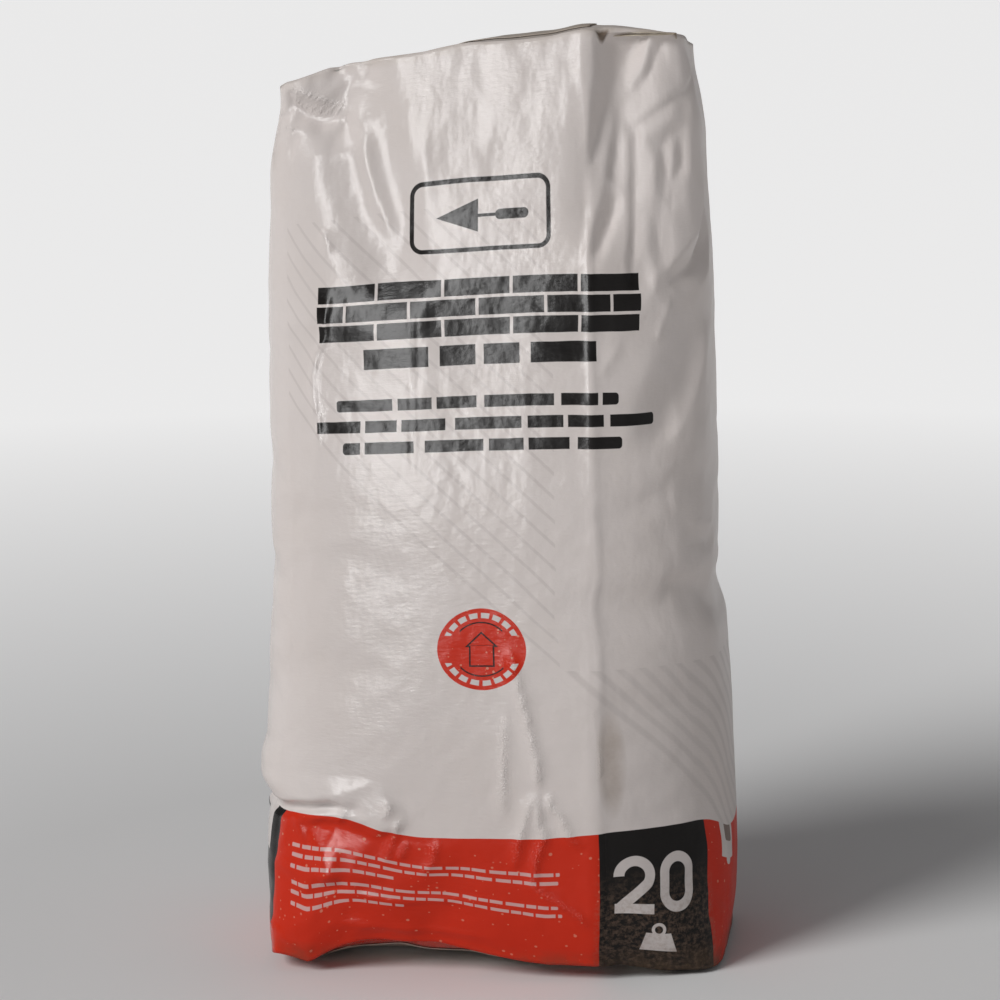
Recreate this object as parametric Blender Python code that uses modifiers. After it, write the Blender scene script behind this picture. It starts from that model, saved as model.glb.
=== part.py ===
"""A 20 kg cement sack: a block-bottom valve sack of woven plastic film, standing on its base.

Metres, +Z up. The front faces -Y and the sack's right side is at +X. The origin is at the
middle of the box that holds the sack, on the floor.
"""

from dataclasses import dataclass

import bmesh
import bpy
from mathutils import Matrix, Vector

# Driving dimensions of the filled sack
SACK_HEIGHT = 0.508
LEFT_SLUMP = 0.021
SLUMP_FROM_X = 0.050
TOP_LEAN = -0.004
TOP_TILT_FROM = 0.10
FRONT_RISE = 0.014
LEFT_FALL = 0.013
RIGHT_FALL = 0.0065
BACK_DROP = 0.012
BACK_LEFT_DROP = 0.010
TOP_DOME = 0.008
TOP_LEFT_SAG = 0.016
BASE_LIFT = 0.023
BASE_LIFT_X = -0.068
BASE_LIFT_LEFT = 0.085
BASE_LIFT_RIGHT = 0.115

# The film, its patches and the clearance between pieces that touch
FILM = 0.0005
CLEARANCE = 0.0003

# The lengthwise crease to the right of the front's middle, and the face that turns back from it
CREASE_X = 0.058
CREASE_TURN = 0.12

# The block ends' cover patches
TOP_PATCH_LEFT = -0.096
TOP_PATCH_RIGHT = 0.060
TOP_PATCH_HALF_WIDTH = 0.034
BOTTOM_PATCH_LENGTH = 0.200
BOTTOM_PATCH_WIDTH = 0.090

# The valve: a flat sleeve that enters through a slit just under the top front edge
VALVE_X = 0.082
VALVE_WIDTH = 0.042
VALVE_THICKNESS = 0.0022
VALVE_REACH = 0.044
VALVE_LIP = 0.002
VALVE_BELOW_EDGE = 0.010
SLIT_DEPTH = 0.030

# Where the cage has its loops: shares of the half width, the half depth and the height
WIDTH_LOOPS = (-1.0, -0.93, -0.76, -0.56, -0.3, -0.05, 0.2, 0.4, 0.5, 0.6, 0.72, 0.86, 0.95, 1.0)
DEPTH_LOOPS = (-1.0, -0.8, -0.3, 0.3, 0.8, 1.0)
HEIGHT_LOOPS = (0.0, 0.03, 0.10, 0.165, 0.19, 0.222, 0.27, 0.36, 0.44, 0.52, 0.62, 0.72, 0.81, 0.89, 0.965, 1.0)


@dataclass(frozen=True)
class Station:
    """The sack's section at one share of its height: a rectangle with rounded corners."""

    share: float
    half_width: float
    half_depth: float
    squareness: float


STATIONS = (
    Station(0.00, 0.1290, 0.0680, 8.0),
    Station(0.10, 0.1320, 0.0750, 6.0),
    Station(0.24, 0.1305, 0.0770, 5.0),
    Station(0.50, 0.1240, 0.0740, 4.4),
    Station(0.72, 0.1230, 0.0660, 4.8),
    Station(0.90, 0.1195, 0.0540, 6.0),
    Station(1.00, 0.1115, 0.0470, 9.0),
)


@dataclass(frozen=True)
class Fold:
    """A valley pressed into the front, from one point to another, given as (x, z)."""

    start: tuple
    end: tuple
    half_width: float
    depth: float


FRONT_FOLDS = (
    Fold((0.071, 0.504), (0.062, 0.400), 0.014, 0.012),
    Fold((-0.076, 0.505), (-0.050, 0.395), 0.016, 0.005),
    Fold((-0.118, 0.468), (-0.082, 0.476), 0.014, 0.006),
    Fold((0.122, 0.372), (0.100, 0.308), 0.012, 0.005),
)


@dataclass(frozen=True)
class SideBand:
    """A level band on the left (-1) or the right (1) side that stands out, or in below 0."""

    side: int
    height: float
    reach: float
    out: float


SIDE_BANDS = (
    SideBand(-1, 0.113, 0.018, 0.0040),
    SideBand(-1, 0.096, 0.012, -0.0050),
    SideBand(1, 0.224, 0.030, -0.0060),
)


def smooth(value):
    """A ramp from 0 to 1 that starts and ends level."""
    value = min(max(value, 0.0), 1.0)
    return value * value * (3 - 2 * value)


def section(share):
    """The half width, half depth and squareness at a share of the height."""
    for low, high in zip(STATIONS, STATIONS[1:]):
        if share <= high.share:
            break
    mix = smooth((share - low.share) / (high.share - low.share))
    return tuple(
        getattr(low, name) * (1 - mix) + getattr(high, name) * mix
        for name in ("half_width", "half_depth", "squareness")
    )


def valley(fold, x, z):
    """How far a fold presses the front in at (x, z)."""
    start, end, point = Vector(fold.start), Vector(fold.end), Vector((x, z))
    along = end - start
    share = min(max((point - start).dot(along) / along.length_squared, 0.0), 1.0)
    away = (point - start - along * share).length / fold.half_width
    return fold.depth * smooth(1 - away / 2)


def side_move(band, a, z):
    """How far a band moves the film along X."""
    return band.side * band.out * smooth(1 - abs(z - band.height) / band.reach) * smooth(band.side * a * 1.4)


def slumped(share, x, half_width):
    """The height at a share of the sack's own, after the top has sunk towards the left."""
    reach = max(SLUMP_FROM_X - x, 0.0) / (SLUMP_FROM_X + half_width)
    return share * (SACK_HEIGHT - LEFT_SLUMP * reach**1.2)


def top_tilt(x, b, z):
    """How far the upper part rises at the front and drops towards the back."""
    rise = FRONT_RISE - LEFT_FALL * smooth((-x - 0.07) / 0.045) - RIGHT_FALL * smooth((x - 0.03) / 0.04)
    drop = BACK_DROP + BACK_LEFT_DROP * smooth((0.055 - x) / 0.075)
    return smooth(1 - (SACK_HEIGHT - z) / TOP_TILT_FROM) * (rise - drop * (b + 1) / 2)


def top_dome(x, reach):
    """How far the top face rises between its edges. Towards the left it sinks instead."""
    return (TOP_DOME - TOP_LEFT_SAG * smooth((0.065 - x) / 0.08)) * (1 - reach**2)


def base_lift(x, z):
    """How far the front bottom edge stands off the floor, because the base bulges down behind it."""
    away = x - BASE_LIFT_X
    lift = smooth(1 - max(-away / BASE_LIFT_LEFT, away / BASE_LIFT_RIGHT))
    return BASE_LIFT * lift * smooth(1 - z / 0.09)


def placed(a, b, c):
    """The sack's surface at a point of the cage, whose sides run from -1 to 1."""
    share = (c + 1) / 2
    half_width, half_depth, power = section(share)
    reach = max(abs(a), abs(b))
    rounding = reach / (abs(a) ** power + abs(b) ** power) ** (1 / power) if reach else 0.0
    x = half_width * a * rounding + TOP_LEAN * smooth(share)
    y = half_depth * b * rounding
    z = slumped(share, x, half_width)
    z += top_tilt(x, b, z)
    if c == 1:
        z += top_dome(x, reach)
    z += base_lift(x, z) * smooth((-b - 0.7) / 0.3)
    front = smooth(-b) if abs(c) < 1 else smooth(-b) * reach
    y += front * CREASE_TURN * max(x - CREASE_X, 0.0)
    y += front * sum(valley(fold, x, z) for fold in FRONT_FOLDS)
    x += sum(side_move(band, a, z) for band in SIDE_BANDS)
    return Vector((x, y, z))


def new_object(name, mesh, material, collection):
    """A mesh object with its material, linked to a collection."""
    obj = bpy.data.objects.new(name, mesh)
    if material:
        mesh.materials.clear()
        mesh.materials.append(material)
        mesh.shade_smooth()
        mesh.set_sharp_from_angle(angle=0.9)
    collection.objects.link(obj)
    return obj


def mesh_from(bm, name):
    """A mesh that takes over a bmesh."""
    mesh = bpy.data.meshes.new(name)
    bm.normal_update()
    bm.to_mesh(mesh)
    bm.free()
    return mesh


def faceted(skin, wanted=None):
    """The skin's wanted faces as a bmesh of triangles, cut alike for every piece that follows it."""
    bm = bmesh.new()
    bm.from_mesh(skin)
    if wanted:
        bmesh.ops.delete(bm, geom=[face for face in bm.faces if not wanted(face)], context="FACES")
    bmesh.ops.triangulate(bm, faces=bm.faces[:], quad_method="SHORT_EDGE")
    return bm


def evaluated_mesh(obj):
    """The mesh that an object's modifiers make."""
    return bpy.data.meshes.new_from_object(obj.evaluated_get(bpy.context.evaluated_depsgraph_get()))


def cage():
    """A cube cut into loops along its three axes, each vertex then moved to the sack's surface."""
    bm = bmesh.new()
    bmesh.ops.create_cube(bm, size=2)
    heights = [2 * share - 1 for share in HEIGHT_LOOPS]
    for axis, loops in enumerate((WIDTH_LOOPS, DEPTH_LOOPS, heights)):
        normal = Vector([1.0 if i == axis else 0.0 for i in range(3)])
        for at in loops[1:-1]:
            everything = bm.verts[:] + bm.edges[:] + bm.faces[:]
            bmesh.ops.bisect_plane(bm, geom=everything, plane_co=normal * at, plane_no=normal)
    for vert in bm.verts:
        a, b, c = (round(value, 5) for value in vert.co)
        vert.co = placed(a, b, c)
    return mesh_from(bm, "sack_cage")


def sack_skin():
    """The sack's outer surface as one closed mesh, centred over the origin and standing on the patch."""
    cage_object = bpy.data.objects.new("sack_cage", cage())
    bpy.context.scene.collection.objects.link(cage_object)
    rounding = cage_object.modifiers.new("soft", "SUBSURF")
    rounding.levels = rounding.render_levels = 1
    skin = evaluated_mesh(cage_object)
    bpy.data.objects.remove(cage_object)
    points = [vert.co for vert in skin.vertices]
    low = Vector([min(p[i] for p in points) for i in range(3)])
    high = Vector([max(p[i] for p in points) for i in range(3)])
    middle = (low + high) / 2
    lift = FILM + CLEARANCE
    skin.transform(Matrix.Translation((-middle.x, -middle.y, lift - low.z)))
    return skin


def box(name, size, centre, collection, material=None):
    """A box by its three sizes and its centre."""
    bm = bmesh.new()
    bmesh.ops.create_cube(bm, size=1)
    bmesh.ops.scale(bm, vec=size, verts=bm.verts)
    obj = new_object(name, mesh_from(bm, name), material, collection)
    obj.location = centre
    return obj


def cutter(name, size, centre, collection):
    """A box that cuts a slit or a pocket and isn't part of the sack."""
    obj = box(name, size, centre, collection)
    obj.hide_render = True
    obj.display_type = "WIRE"
    return obj


def cut(obj, tool):
    """Takes a cutter's shape out of an object."""
    boolean = obj.modifiers.new(tool.name, "BOOLEAN")
    boolean.operation = "DIFFERENCE"
    boolean.object = tool


def thicken(obj, thickness, offset=-1.0):
    """Gives an open or closed surface a wall of film."""
    wall = obj.modifiers.new("film", "SOLIDIFY")
    wall.thickness = thickness
    wall.offset = offset
    wall.use_even_offset = True


def front_edge(skin, x):
    """The front face's y and the top edge's z at a place along the top front edge."""
    near = [vert.co for vert in skin.vertices if abs(vert.co.x - x) < 0.012]
    top = max(p.z for p in near)
    level = [p for p in near if abs(p.z - (top - VALVE_BELOW_EDGE)) < 0.012]
    return min(p.y for p in level), top


def sack_body(skin, slit, material, collection):
    """The film tube, with the slit that the valve sleeve enters by."""
    obj = new_object("sack_body", mesh_from(faceted(skin), "sack_body"), material, collection)
    thicken(obj, FILM)
    cut(obj, slit)
    return obj


def cement_fill(skin, pocket, material, collection):
    """The cement: the skin drawn in by the film and the clearance, dented by the sleeve."""
    bm = faceted(skin)
    bm.normal_update()
    moved = [(v, v.co - v.normal * v.calc_shell_factor() * (FILM + CLEARANCE)) for v in bm.verts]
    for vert, point in moved:
        vert.co = point
    obj = new_object("cement_fill", mesh_from(bm, "cement_fill"), material, collection)
    cut(obj, pocket)
    return obj


def under_top_patch(face):
    """Whether the top cover patch lies on a face."""
    middle = face.calc_center_median()
    along = TOP_PATCH_LEFT < middle.x < TOP_PATCH_RIGHT
    return face.normal.z > 0.8 and along and abs(middle.y) < TOP_PATCH_HALF_WIDTH


def top_cover_patch(skin, material, collection):
    """The strip of film over the top block's folds, one clearance off the faces that it covers."""
    bm = faceted(skin, under_top_patch)
    obj = new_object("top_cover_patch", mesh_from(bm, "top_cover_patch"), material, collection)
    thicken(obj, FILM, offset=1 + 2 * CLEARANCE / FILM)
    return obj


def valve_sleeve(centre, material, collection):
    """The flattened sleeve, open at both ends."""
    bm = bmesh.new()
    bmesh.ops.create_cube(bm, size=1)
    ends = [face for face in bm.faces if abs(face.normal.y) > 0.9]
    bmesh.ops.delete(bm, geom=ends, context="FACES_ONLY")
    size = (VALVE_WIDTH, VALVE_REACH + VALVE_LIP, VALVE_THICKNESS)
    bmesh.ops.scale(bm, vec=size, verts=bm.verts)
    obj = new_object("valve_sleeve", mesh_from(bm, "valve_sleeve"), material, collection)
    obj.location = centre
    thicken(obj, FILM)
    return obj


def material(name, colour, roughness):
    """A plain Principled material."""
    made = bpy.data.materials.new(name)
    made.use_nodes = True
    shader = made.node_tree.nodes["Principled BSDF"]
    shader.inputs["Base Color"].default_value = (*colour, 1)
    shader.inputs["Roughness"].default_value = roughness
    shader.inputs["Metallic"].default_value = 0.0
    return made


def new_collection(name):
    """A collection in the scene."""
    made = bpy.data.collections.new(name)
    bpy.context.scene.collection.children.link(made)
    return made


def main():
    """Clears the scene and builds the sack."""
    for obj in list(bpy.data.objects):
        bpy.data.objects.remove(obj)
    parts = new_collection("cement_sack")
    cutters = new_collection("cutters")
    film = material("sack_film", (0.62, 0.58, 0.56), 0.32)
    patch_film = material("patch_film", (0.48, 0.42, 0.36), 0.45)
    sleeve_film = material("sleeve_film", (0.66, 0.60, 0.50), 0.5)
    cement = material("cement", (0.36, 0.35, 0.33), 0.95)

    skin = sack_skin()
    face_y, edge_z = front_edge(skin, VALVE_X)
    level = edge_z - VALVE_BELOW_EDGE
    sleeve_centre = (VALVE_X, face_y + (VALVE_REACH - VALVE_LIP) / 2, level)
    opening = (VALVE_WIDTH + 2 * CLEARANCE, VALVE_THICKNESS + 2 * CLEARANCE)
    slit = cutter("valve_slit", (opening[0], SLIT_DEPTH, opening[1]), (VALVE_X, face_y, level), cutters)
    pocket_length = VALVE_REACH + VALVE_LIP + 2 * CLEARANCE
    pocket = cutter("sleeve_pocket", (opening[0], pocket_length, opening[1]), sleeve_centre, cutters)

    sack_body(skin, slit, film, parts)
    cement_fill(skin, pocket, cement, parts)
    top_cover_patch(skin, patch_film, parts)
    under = (BOTTOM_PATCH_LENGTH, BOTTOM_PATCH_WIDTH, FILM)
    box("bottom_cover_patch", under, (0, 0, FILM / 2), parts, patch_film)
    valve_sleeve(sleeve_centre, sleeve_film, parts)
    bpy.data.meshes.remove(skin)


main()
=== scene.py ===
"""Looks of a filled cement sack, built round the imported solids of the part.

Metres, +Z up. The printed front faces -Y and the sack's right side is at +X. The film is a closed
lattice of cells that is filled by a pressure simulation, drawn onto the sack's form and creased.
Its prints are shader maths on the flat film: U runs round the tube from the front's middle, and V
runs up from the base, both in metres.
"""

import logging
import math
from dataclasses import dataclass, field
from enum import Enum

import bmesh
import bpy
import numpy as np
from mathutils import Matrix, Vector
from mathutils.geometry import delaunay_2d_cdt


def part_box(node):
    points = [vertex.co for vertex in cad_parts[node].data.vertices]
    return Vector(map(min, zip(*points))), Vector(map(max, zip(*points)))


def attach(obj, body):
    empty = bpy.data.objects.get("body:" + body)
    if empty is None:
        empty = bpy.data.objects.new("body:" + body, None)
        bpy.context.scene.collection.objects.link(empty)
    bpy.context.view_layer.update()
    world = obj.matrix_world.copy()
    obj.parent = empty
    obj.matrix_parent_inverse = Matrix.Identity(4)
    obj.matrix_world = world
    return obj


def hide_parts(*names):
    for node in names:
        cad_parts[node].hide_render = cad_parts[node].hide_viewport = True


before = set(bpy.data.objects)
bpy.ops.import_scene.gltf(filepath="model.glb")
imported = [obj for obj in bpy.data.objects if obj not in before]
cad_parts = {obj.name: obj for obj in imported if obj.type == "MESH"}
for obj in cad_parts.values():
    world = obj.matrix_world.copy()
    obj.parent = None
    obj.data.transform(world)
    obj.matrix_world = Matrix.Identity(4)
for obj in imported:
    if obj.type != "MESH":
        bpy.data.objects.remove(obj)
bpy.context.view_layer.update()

LOG = logging.getLogger("cement_sack")

Array = np.ndarray
Colour = tuple[float, float, float]
Place = tuple[float, float]
Mark = tuple[float, float, float]

FILM_WIDTH = 0.240
FILM_DEPTH = 0.115
FILM_HEIGHT = 0.515
FLOOR_GAP = 0.0008


def smooth(value: Array) -> Array:
    """A ramp from 0 to 1 that starts and ends level."""
    value = np.clip(value, 0.0, 1.0)
    return value * value * (3 - 2 * value)


def ramp(value: Array, start: float, over: float) -> Array:
    """A smooth ramp that is 0 up to a start and 1 from start + over."""
    return smooth((value - start) / over)


@dataclass(frozen=True)
class Station:
    """The sack's section at one share of its height: a rectangle with rounded corners."""

    share: float
    half_width: float
    half_depth: float
    squareness: float


@dataclass(frozen=True)
class Valley:
    """A broad valley in the front, from one point to another, given as (x, z)."""

    start: Place
    end: Place
    half_width: float
    depth: float

    def pressed(self, x: Array, z: Array) -> Array:
        """How far the valley presses the front in.

        Args:
            x: places along the width.
            z: heights.

        Returns:
            The depth at each place.
        """
        along = np.subtract(self.end, self.start)
        from_start = np.stack([x - self.start[0], z - self.start[1]], axis=-1)
        share = np.clip(from_start @ along / (along @ along), 0.0, 1.0)
        away = np.linalg.norm(from_start - share[..., None] * along, axis=-1)
        return self.depth * smooth(1 - away / self.half_width / 2)


@dataclass(frozen=True)
class SideBand:
    """A level band on the left (-1) or the right (1) side that stands out, or in below 0."""

    side: int
    height: float
    reach: float
    out: float

    def moved(self, a: Array, z: Array) -> Array:
        """How far the band moves the film along X.

        Args:
            a: places across the cube.
            z: heights.

        Returns:
            The move at each place.
        """
        near = smooth(1 - np.abs(z - self.height) / self.reach)
        return self.side * self.out * near * smooth(self.side * a * 1.4)


@dataclass(frozen=True)
class ValveMouth:
    """The trough behind the front's top edge where the valve opens, with a notch at its left end."""

    left: float = 0.060
    right: float = 0.106
    run_out: float = 0.005
    behind_edge: float = 0.0045
    reach: float = 0.0050
    depth: float = 0.0014
    notch_x: float = 0.0635
    notch_reach: float = 0.0038
    notch_depth: float = 0.0030
    notch_height: float = 0.012

    def sunk(self, points: Array, on_top: Array) -> Array:
        """How far the mouth lowers the film.

        Args:
            points: points on the sack.
            on_top: 1 on the top, 0 below it.

        Returns:
            The depth at each point.
        """
        x, y, z = points.T
        rim = (on_top > 0.99) & (np.abs(x - self.notch_x) < 0.02)
        edge_y, edge_z = y[rim].min(), z[rim].min()
        span = smooth((x - self.left) / self.run_out) * smooth((self.right - x) / self.run_out)
        across = smooth(1 - np.abs(y - edge_y - self.behind_edge) / self.reach)
        trough = self.depth * on_top * span * across
        notch = smooth(1 - np.abs(x - self.notch_x) / self.notch_reach)
        notch *= smooth((z - edge_z + self.notch_height) / self.notch_height)
        notch *= smooth((edge_y + 2 * self.behind_edge - y) / self.behind_edge)
        return np.maximum(trough, self.notch_depth * notch)


@dataclass(frozen=True)
class SackForm:
    """The filled sack's form, as a cube whose points are moved to the sack's surface."""

    height: float = 0.508
    stations: tuple[Station, ...] = (
        Station(0.00, 0.1275, 0.072, 8.0),
        Station(0.10, 0.1300, 0.073, 6.0),
        Station(0.24, 0.1280, 0.075, 5.0),
        Station(0.50, 0.1215, 0.072, 4.4),
        Station(0.72, 0.1205, 0.064, 4.8),
        Station(0.90, 0.1170, 0.052, 6.0),
        Station(1.00, 0.1095, 0.045, 9.0),
    )
    valleys: tuple[Valley, ...] = (
        Valley((0.072, 0.504), (0.066, 0.425), 0.013, 0.005),
        Valley((-0.076, 0.505), (-0.050, 0.395), 0.016, 0.005),
        Valley((-0.118, 0.468), (-0.082, 0.476), 0.014, 0.006),
        Valley((0.122, 0.372), (0.100, 0.308), 0.012, 0.005),
    )
    left_slump: float = 0.021
    slump_from_x: float = 0.050
    top_dome: float = 0.0035
    top_left_sag: float = 0.016
    tilt_from: float = 0.10
    front_rise: float = 0.014
    left_fall: float = 0.0075
    shoulder_fall: float = 0.0035
    middle_fall: float = 0.004
    right_rise: float = 0.0025
    right_fall: float = 0.0045
    back_drop: float = 0.014
    back_left_drop: float = 0.010
    top_lean: float = -0.004
    base_lift: float = 0.016
    base_lift_x: float = -0.068
    base_lift_left: float = 0.048
    base_lift_right: float = 0.150
    corner_lift: float = 0.008
    right_lift: float = 0.0045
    crease_x: float = 0.058
    crease_turn: float = 0.21
    base_turn: float = 0.13
    top_turn: float = 0.08
    bands: tuple[SideBand, ...] = (
        SideBand(-1, 0.113, 0.018, 0.0040),
        SideBand(-1, 0.096, 0.012, -0.0050),
        SideBand(1, 0.210, 0.022, -0.0040),
    )
    mouth: ValveMouth = field(default_factory=ValveMouth)

    def section(self, share: Array) -> tuple[Array, Array, Array]:
        """The sack's section at shares of its height.

        Args:
            share: shares of the height.

        Returns:
            The half widths, half depths and squareness there.
        """
        marks = np.array([station.share for station in self.stations])
        low = np.clip(np.searchsorted(marks, share, side="left") - 1, 0, len(marks) - 2)
        mix = smooth((share - marks[low]) / (marks[low + 1] - marks[low]))
        columns = []
        for name in ("half_width", "half_depth", "squareness"):
            values = np.array([getattr(station, name) for station in self.stations])
            columns.append(values[low] * (1 - mix) + values[low + 1] * mix)
        return tuple(columns)

    def block(self, cube: Array) -> Array:
        """The main form, before its small folds.

        Args:
            cube: points on a cube whose sides run from -1 to 1.

        Returns:
            The points on the sack.
        """
        a, b, c = cube.T
        share = (c + 1) / 2
        half_width, half_depth, power = self.section(share)
        reach = np.maximum(np.abs(a), np.abs(b))
        spread = (np.abs(a) ** power + np.abs(b) ** power) ** (1 / power)
        rounding = np.where(reach > 0, reach / np.maximum(spread, 1e-9), 0.0)
        x = half_width * a * rounding + self.top_lean * smooth(share)
        y = half_depth * b * rounding
        slump = np.maximum(self.slump_from_x - x, 0.0) / (self.slump_from_x + half_width)
        z = share * (self.height - self.left_slump * slump**1.2)
        return np.stack([x, y, z], axis=1)

    def settled(self, points: Array, cube: Array) -> Array:
        """The form with the small folds and sags that the photograph shows.

        Args:
            points: points on the main form.
            cube: the same points on the cube.

        Returns:
            The points after the folds.
        """
        a, b, c = cube.T
        x, y, z = points.T.copy()
        reach = np.maximum(np.abs(a), np.abs(b))
        on_top = smooth((c - 0.985) / 0.015)
        rise = self.front_rise - self.left_fall * ramp(-x, 0.07, 0.045)
        rise -= self.shoulder_fall * ramp(-x, 0.005, 0.030) + self.middle_fall * ramp(x, -0.03, 0.05)
        rise += self.right_rise * ramp(x, 0.030, 0.025) - self.right_fall * ramp(x, 0.065, 0.045)
        drop = self.back_drop + self.back_left_drop * smooth((0.03 - x) / 0.08)
        tilt = rise - drop * (b + 1) / 2
        dome = self.top_dome - self.top_left_sag * smooth((0.01 - x) / 0.07)
        z += smooth(1 - (self.height - z) / self.tilt_from) * tilt + on_top * dome * (1 - reach**2)
        from_lift = x - self.base_lift_x
        away = np.maximum(-from_lift / self.base_lift_left, from_lift / self.base_lift_right)
        lift = np.maximum(self.base_lift * smooth(1 - away), self.corner_lift * ramp(-x, 0.085, 0.035))
        lift = np.maximum(lift, self.right_lift * ramp(x, 0.010, 0.03) * ramp(-x, -0.100, 0.03))
        z += lift * smooth(1 - z / 0.09) * np.clip((-b - 0.15) / 0.85, 0.0, 1.0)
        front = smooth(-b) * np.where(np.abs(c) < 1, 1.0, reach)
        turn = self.crease_turn + self.base_turn * ramp(-z, -0.22, 0.10)
        turn += self.top_turn * ramp(z, 0.36, 0.10)
        pressed = turn * np.maximum(x - self.crease_x, 0.0)
        for valley in self.valleys:
            pressed += valley.pressed(x, z)
        y += front * pressed
        x += sum(band.moved(a, z) for band in self.bands)
        z -= self.mouth.sunk(np.stack([x, y, z], axis=1), on_top)
        return np.stack([x, y, z], axis=1)


class Side(Enum):
    """A side of the block: its fixed axis and end, then the axes and turns of its columns and rows."""

    FRONT = (1, 0, 0, 1, 2, 1)
    BACK = (1, 1, 0, -1, 2, 1)
    RIGHT = (0, 1, 1, 1, 2, 1)
    LEFT = (0, 0, 1, -1, 2, 1)
    TOP = (2, 1, 0, 1, 1, 1)
    BOTTOM = (2, 0, 0, 1, 1, -1)

    def laid_flat(self, cube: Array) -> Array:
        """Where points on this side lie on the flat film.

        Args:
            cube: points on the cube.

        Returns:
            Their U and V, in metres.
        """
        a, b, c = np.moveaxis(cube, -1, 0)
        half = FILM_WIDTH / 2
        deep = (b + 1) / 2 * FILM_DEPTH
        v = (c + 1) / 2 * FILM_HEIGHT
        if self is Side.RIGHT:
            u = half + deep
        elif self is Side.LEFT:
            u = -half - deep
        elif self is Side.BACK:
            right_half = a.mean(axis=-1, keepdims=True) > 0
            u = np.where(right_half, 2 * half + FILM_DEPTH - half * a, -2 * half - FILM_DEPTH - half * a)
        else:
            u = half * a
        if self is Side.TOP:
            v = v + deep
        if self is Side.BOTTOM:
            v = v - deep
        return np.stack([u, v], axis=-1)


class FilmLattice:
    """The film as a closed lattice of square cells on the six sides of a block."""

    def __init__(self, cells: tuple[int, int, int]) -> None:
        """Lays out the lattice.

        Args:
            cells: how many cells the block has along its width, depth and height.
        """
        self.cells = cells
        shape = tuple(count + 1 for count in cells)
        places = np.stack(np.indices(shape), axis=-1)
        on_shell = ((places == 0) | (places == np.array(cells))).any(axis=-1)
        self.keys = places[on_shell]
        self.index = np.full(shape, -1)
        self.index[on_shell] = np.arange(len(self.keys))
        self.cube = 2 * self.keys / np.array(cells) - 1
        grids = {side: self._grid(side) for side in Side}
        self.side_faces = {side: self._quads(grid) for side, grid in grids.items()}
        self.faces = np.concatenate(list(self.side_faces.values()))
        edges = np.concatenate([self.faces[:, [i, (i + 1) % 4]] for i in range(4)])
        self.edges = np.unique(np.sort(edges, axis=1), axis=0)
        self.degree = np.bincount(self.edges.ravel(), minlength=len(self.keys))

    def _grid(self, side: Side) -> Array:
        """The vertex numbers of a side, as rows and columns that turn outwards."""
        fixed, end, column_axis, column_turn, row_axis, row_turn = side.value
        place = [0, 0, 0]
        place[fixed] = end * self.cells[fixed]
        place[column_axis] = np.arange(self.cells[column_axis] + 1)[::column_turn][None, :]
        place[row_axis] = np.arange(self.cells[row_axis] + 1)[::row_turn][:, None]
        return self.index[tuple(place)]

    @staticmethod
    def _quads(grid: Array) -> Array:
        """The four-sided faces of a grid of vertex numbers."""
        corners = (grid[:-1, :-1], grid[:-1, 1:], grid[1:, 1:], grid[1:, :-1])
        return np.stack([corner.ravel() for corner in corners], axis=1)

    def finer(self) -> "FilmLattice":
        """The lattice with each cell cut in four."""
        return FilmLattice(tuple(2 * count for count in self.cells))

    def carried_to(self, fine: "FilmLattice", values: Array) -> Array:
        """Values of this lattice's vertices, worked out for a lattice twice as fine.

        Args:
            fine: the finer lattice.
            values: one row for each vertex of this lattice.

        Returns:
            One row for each vertex of the finer lattice.
        """
        low, high = fine.keys // 2, (fine.keys + 1) // 2
        total = np.zeros((len(fine.keys), values.shape[1]))
        for corner in range(8):
            take_high = np.array([corner & 1, corner & 2, corner & 4]) > 0
            key = np.where(take_high, high, low)
            total += values[self.index[tuple(key.T)]]
        return total / 8

    def blurred(self, values: Array, steps: int) -> Array:
        """Values with each vertex taking its neighbours' mean, a number of times.

        Args:
            values: one row for each vertex.
            steps: how many times.

        Returns:
            The blurred rows.
        """
        start, end = self.edges.T
        count = len(self.keys)
        for _ in range(steps):
            columns = [
                np.bincount(start, column[end], count) + np.bincount(end, column[start], count)
                for column in values.T
            ]
            values = np.stack(columns, axis=1) / self.degree[:, None]
        return values

    def normals(self, points: Array) -> Array:
        """The outward direction at each vertex."""
        corners = points[self.faces]
        facing = np.cross(corners[:, 2] - corners[:, 0], corners[:, 3] - corners[:, 1])
        total = np.zeros_like(points)
        for axis in range(3):
            weights = np.repeat(facing[:, axis], 4)
            total[:, axis] = np.bincount(self.faces.ravel(), weights, len(points))
        return total / np.linalg.norm(total, axis=1, keepdims=True)

    def flat(self) -> Array:
        """Each vertex's U and V on the flat film, walls before ends and front before back."""
        flat = np.zeros((len(self.keys), 2))
        for side in (Side.TOP, Side.BOTTOM, Side.BACK, Side.LEFT, Side.RIGHT, Side.FRONT):
            used = np.unique(self.side_faces[side])
            flat[used] = side.laid_flat(self.cube[used][:, None, :])[:, 0]
        return flat

    def face_corners_flat(self) -> Array:
        """U and V at each face corner, in the order of the faces' loops."""
        parts = [side.laid_flat(self.cube[faces]) for side, faces in self.side_faces.items()]
        return np.concatenate(parts).reshape(-1, 2)


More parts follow.
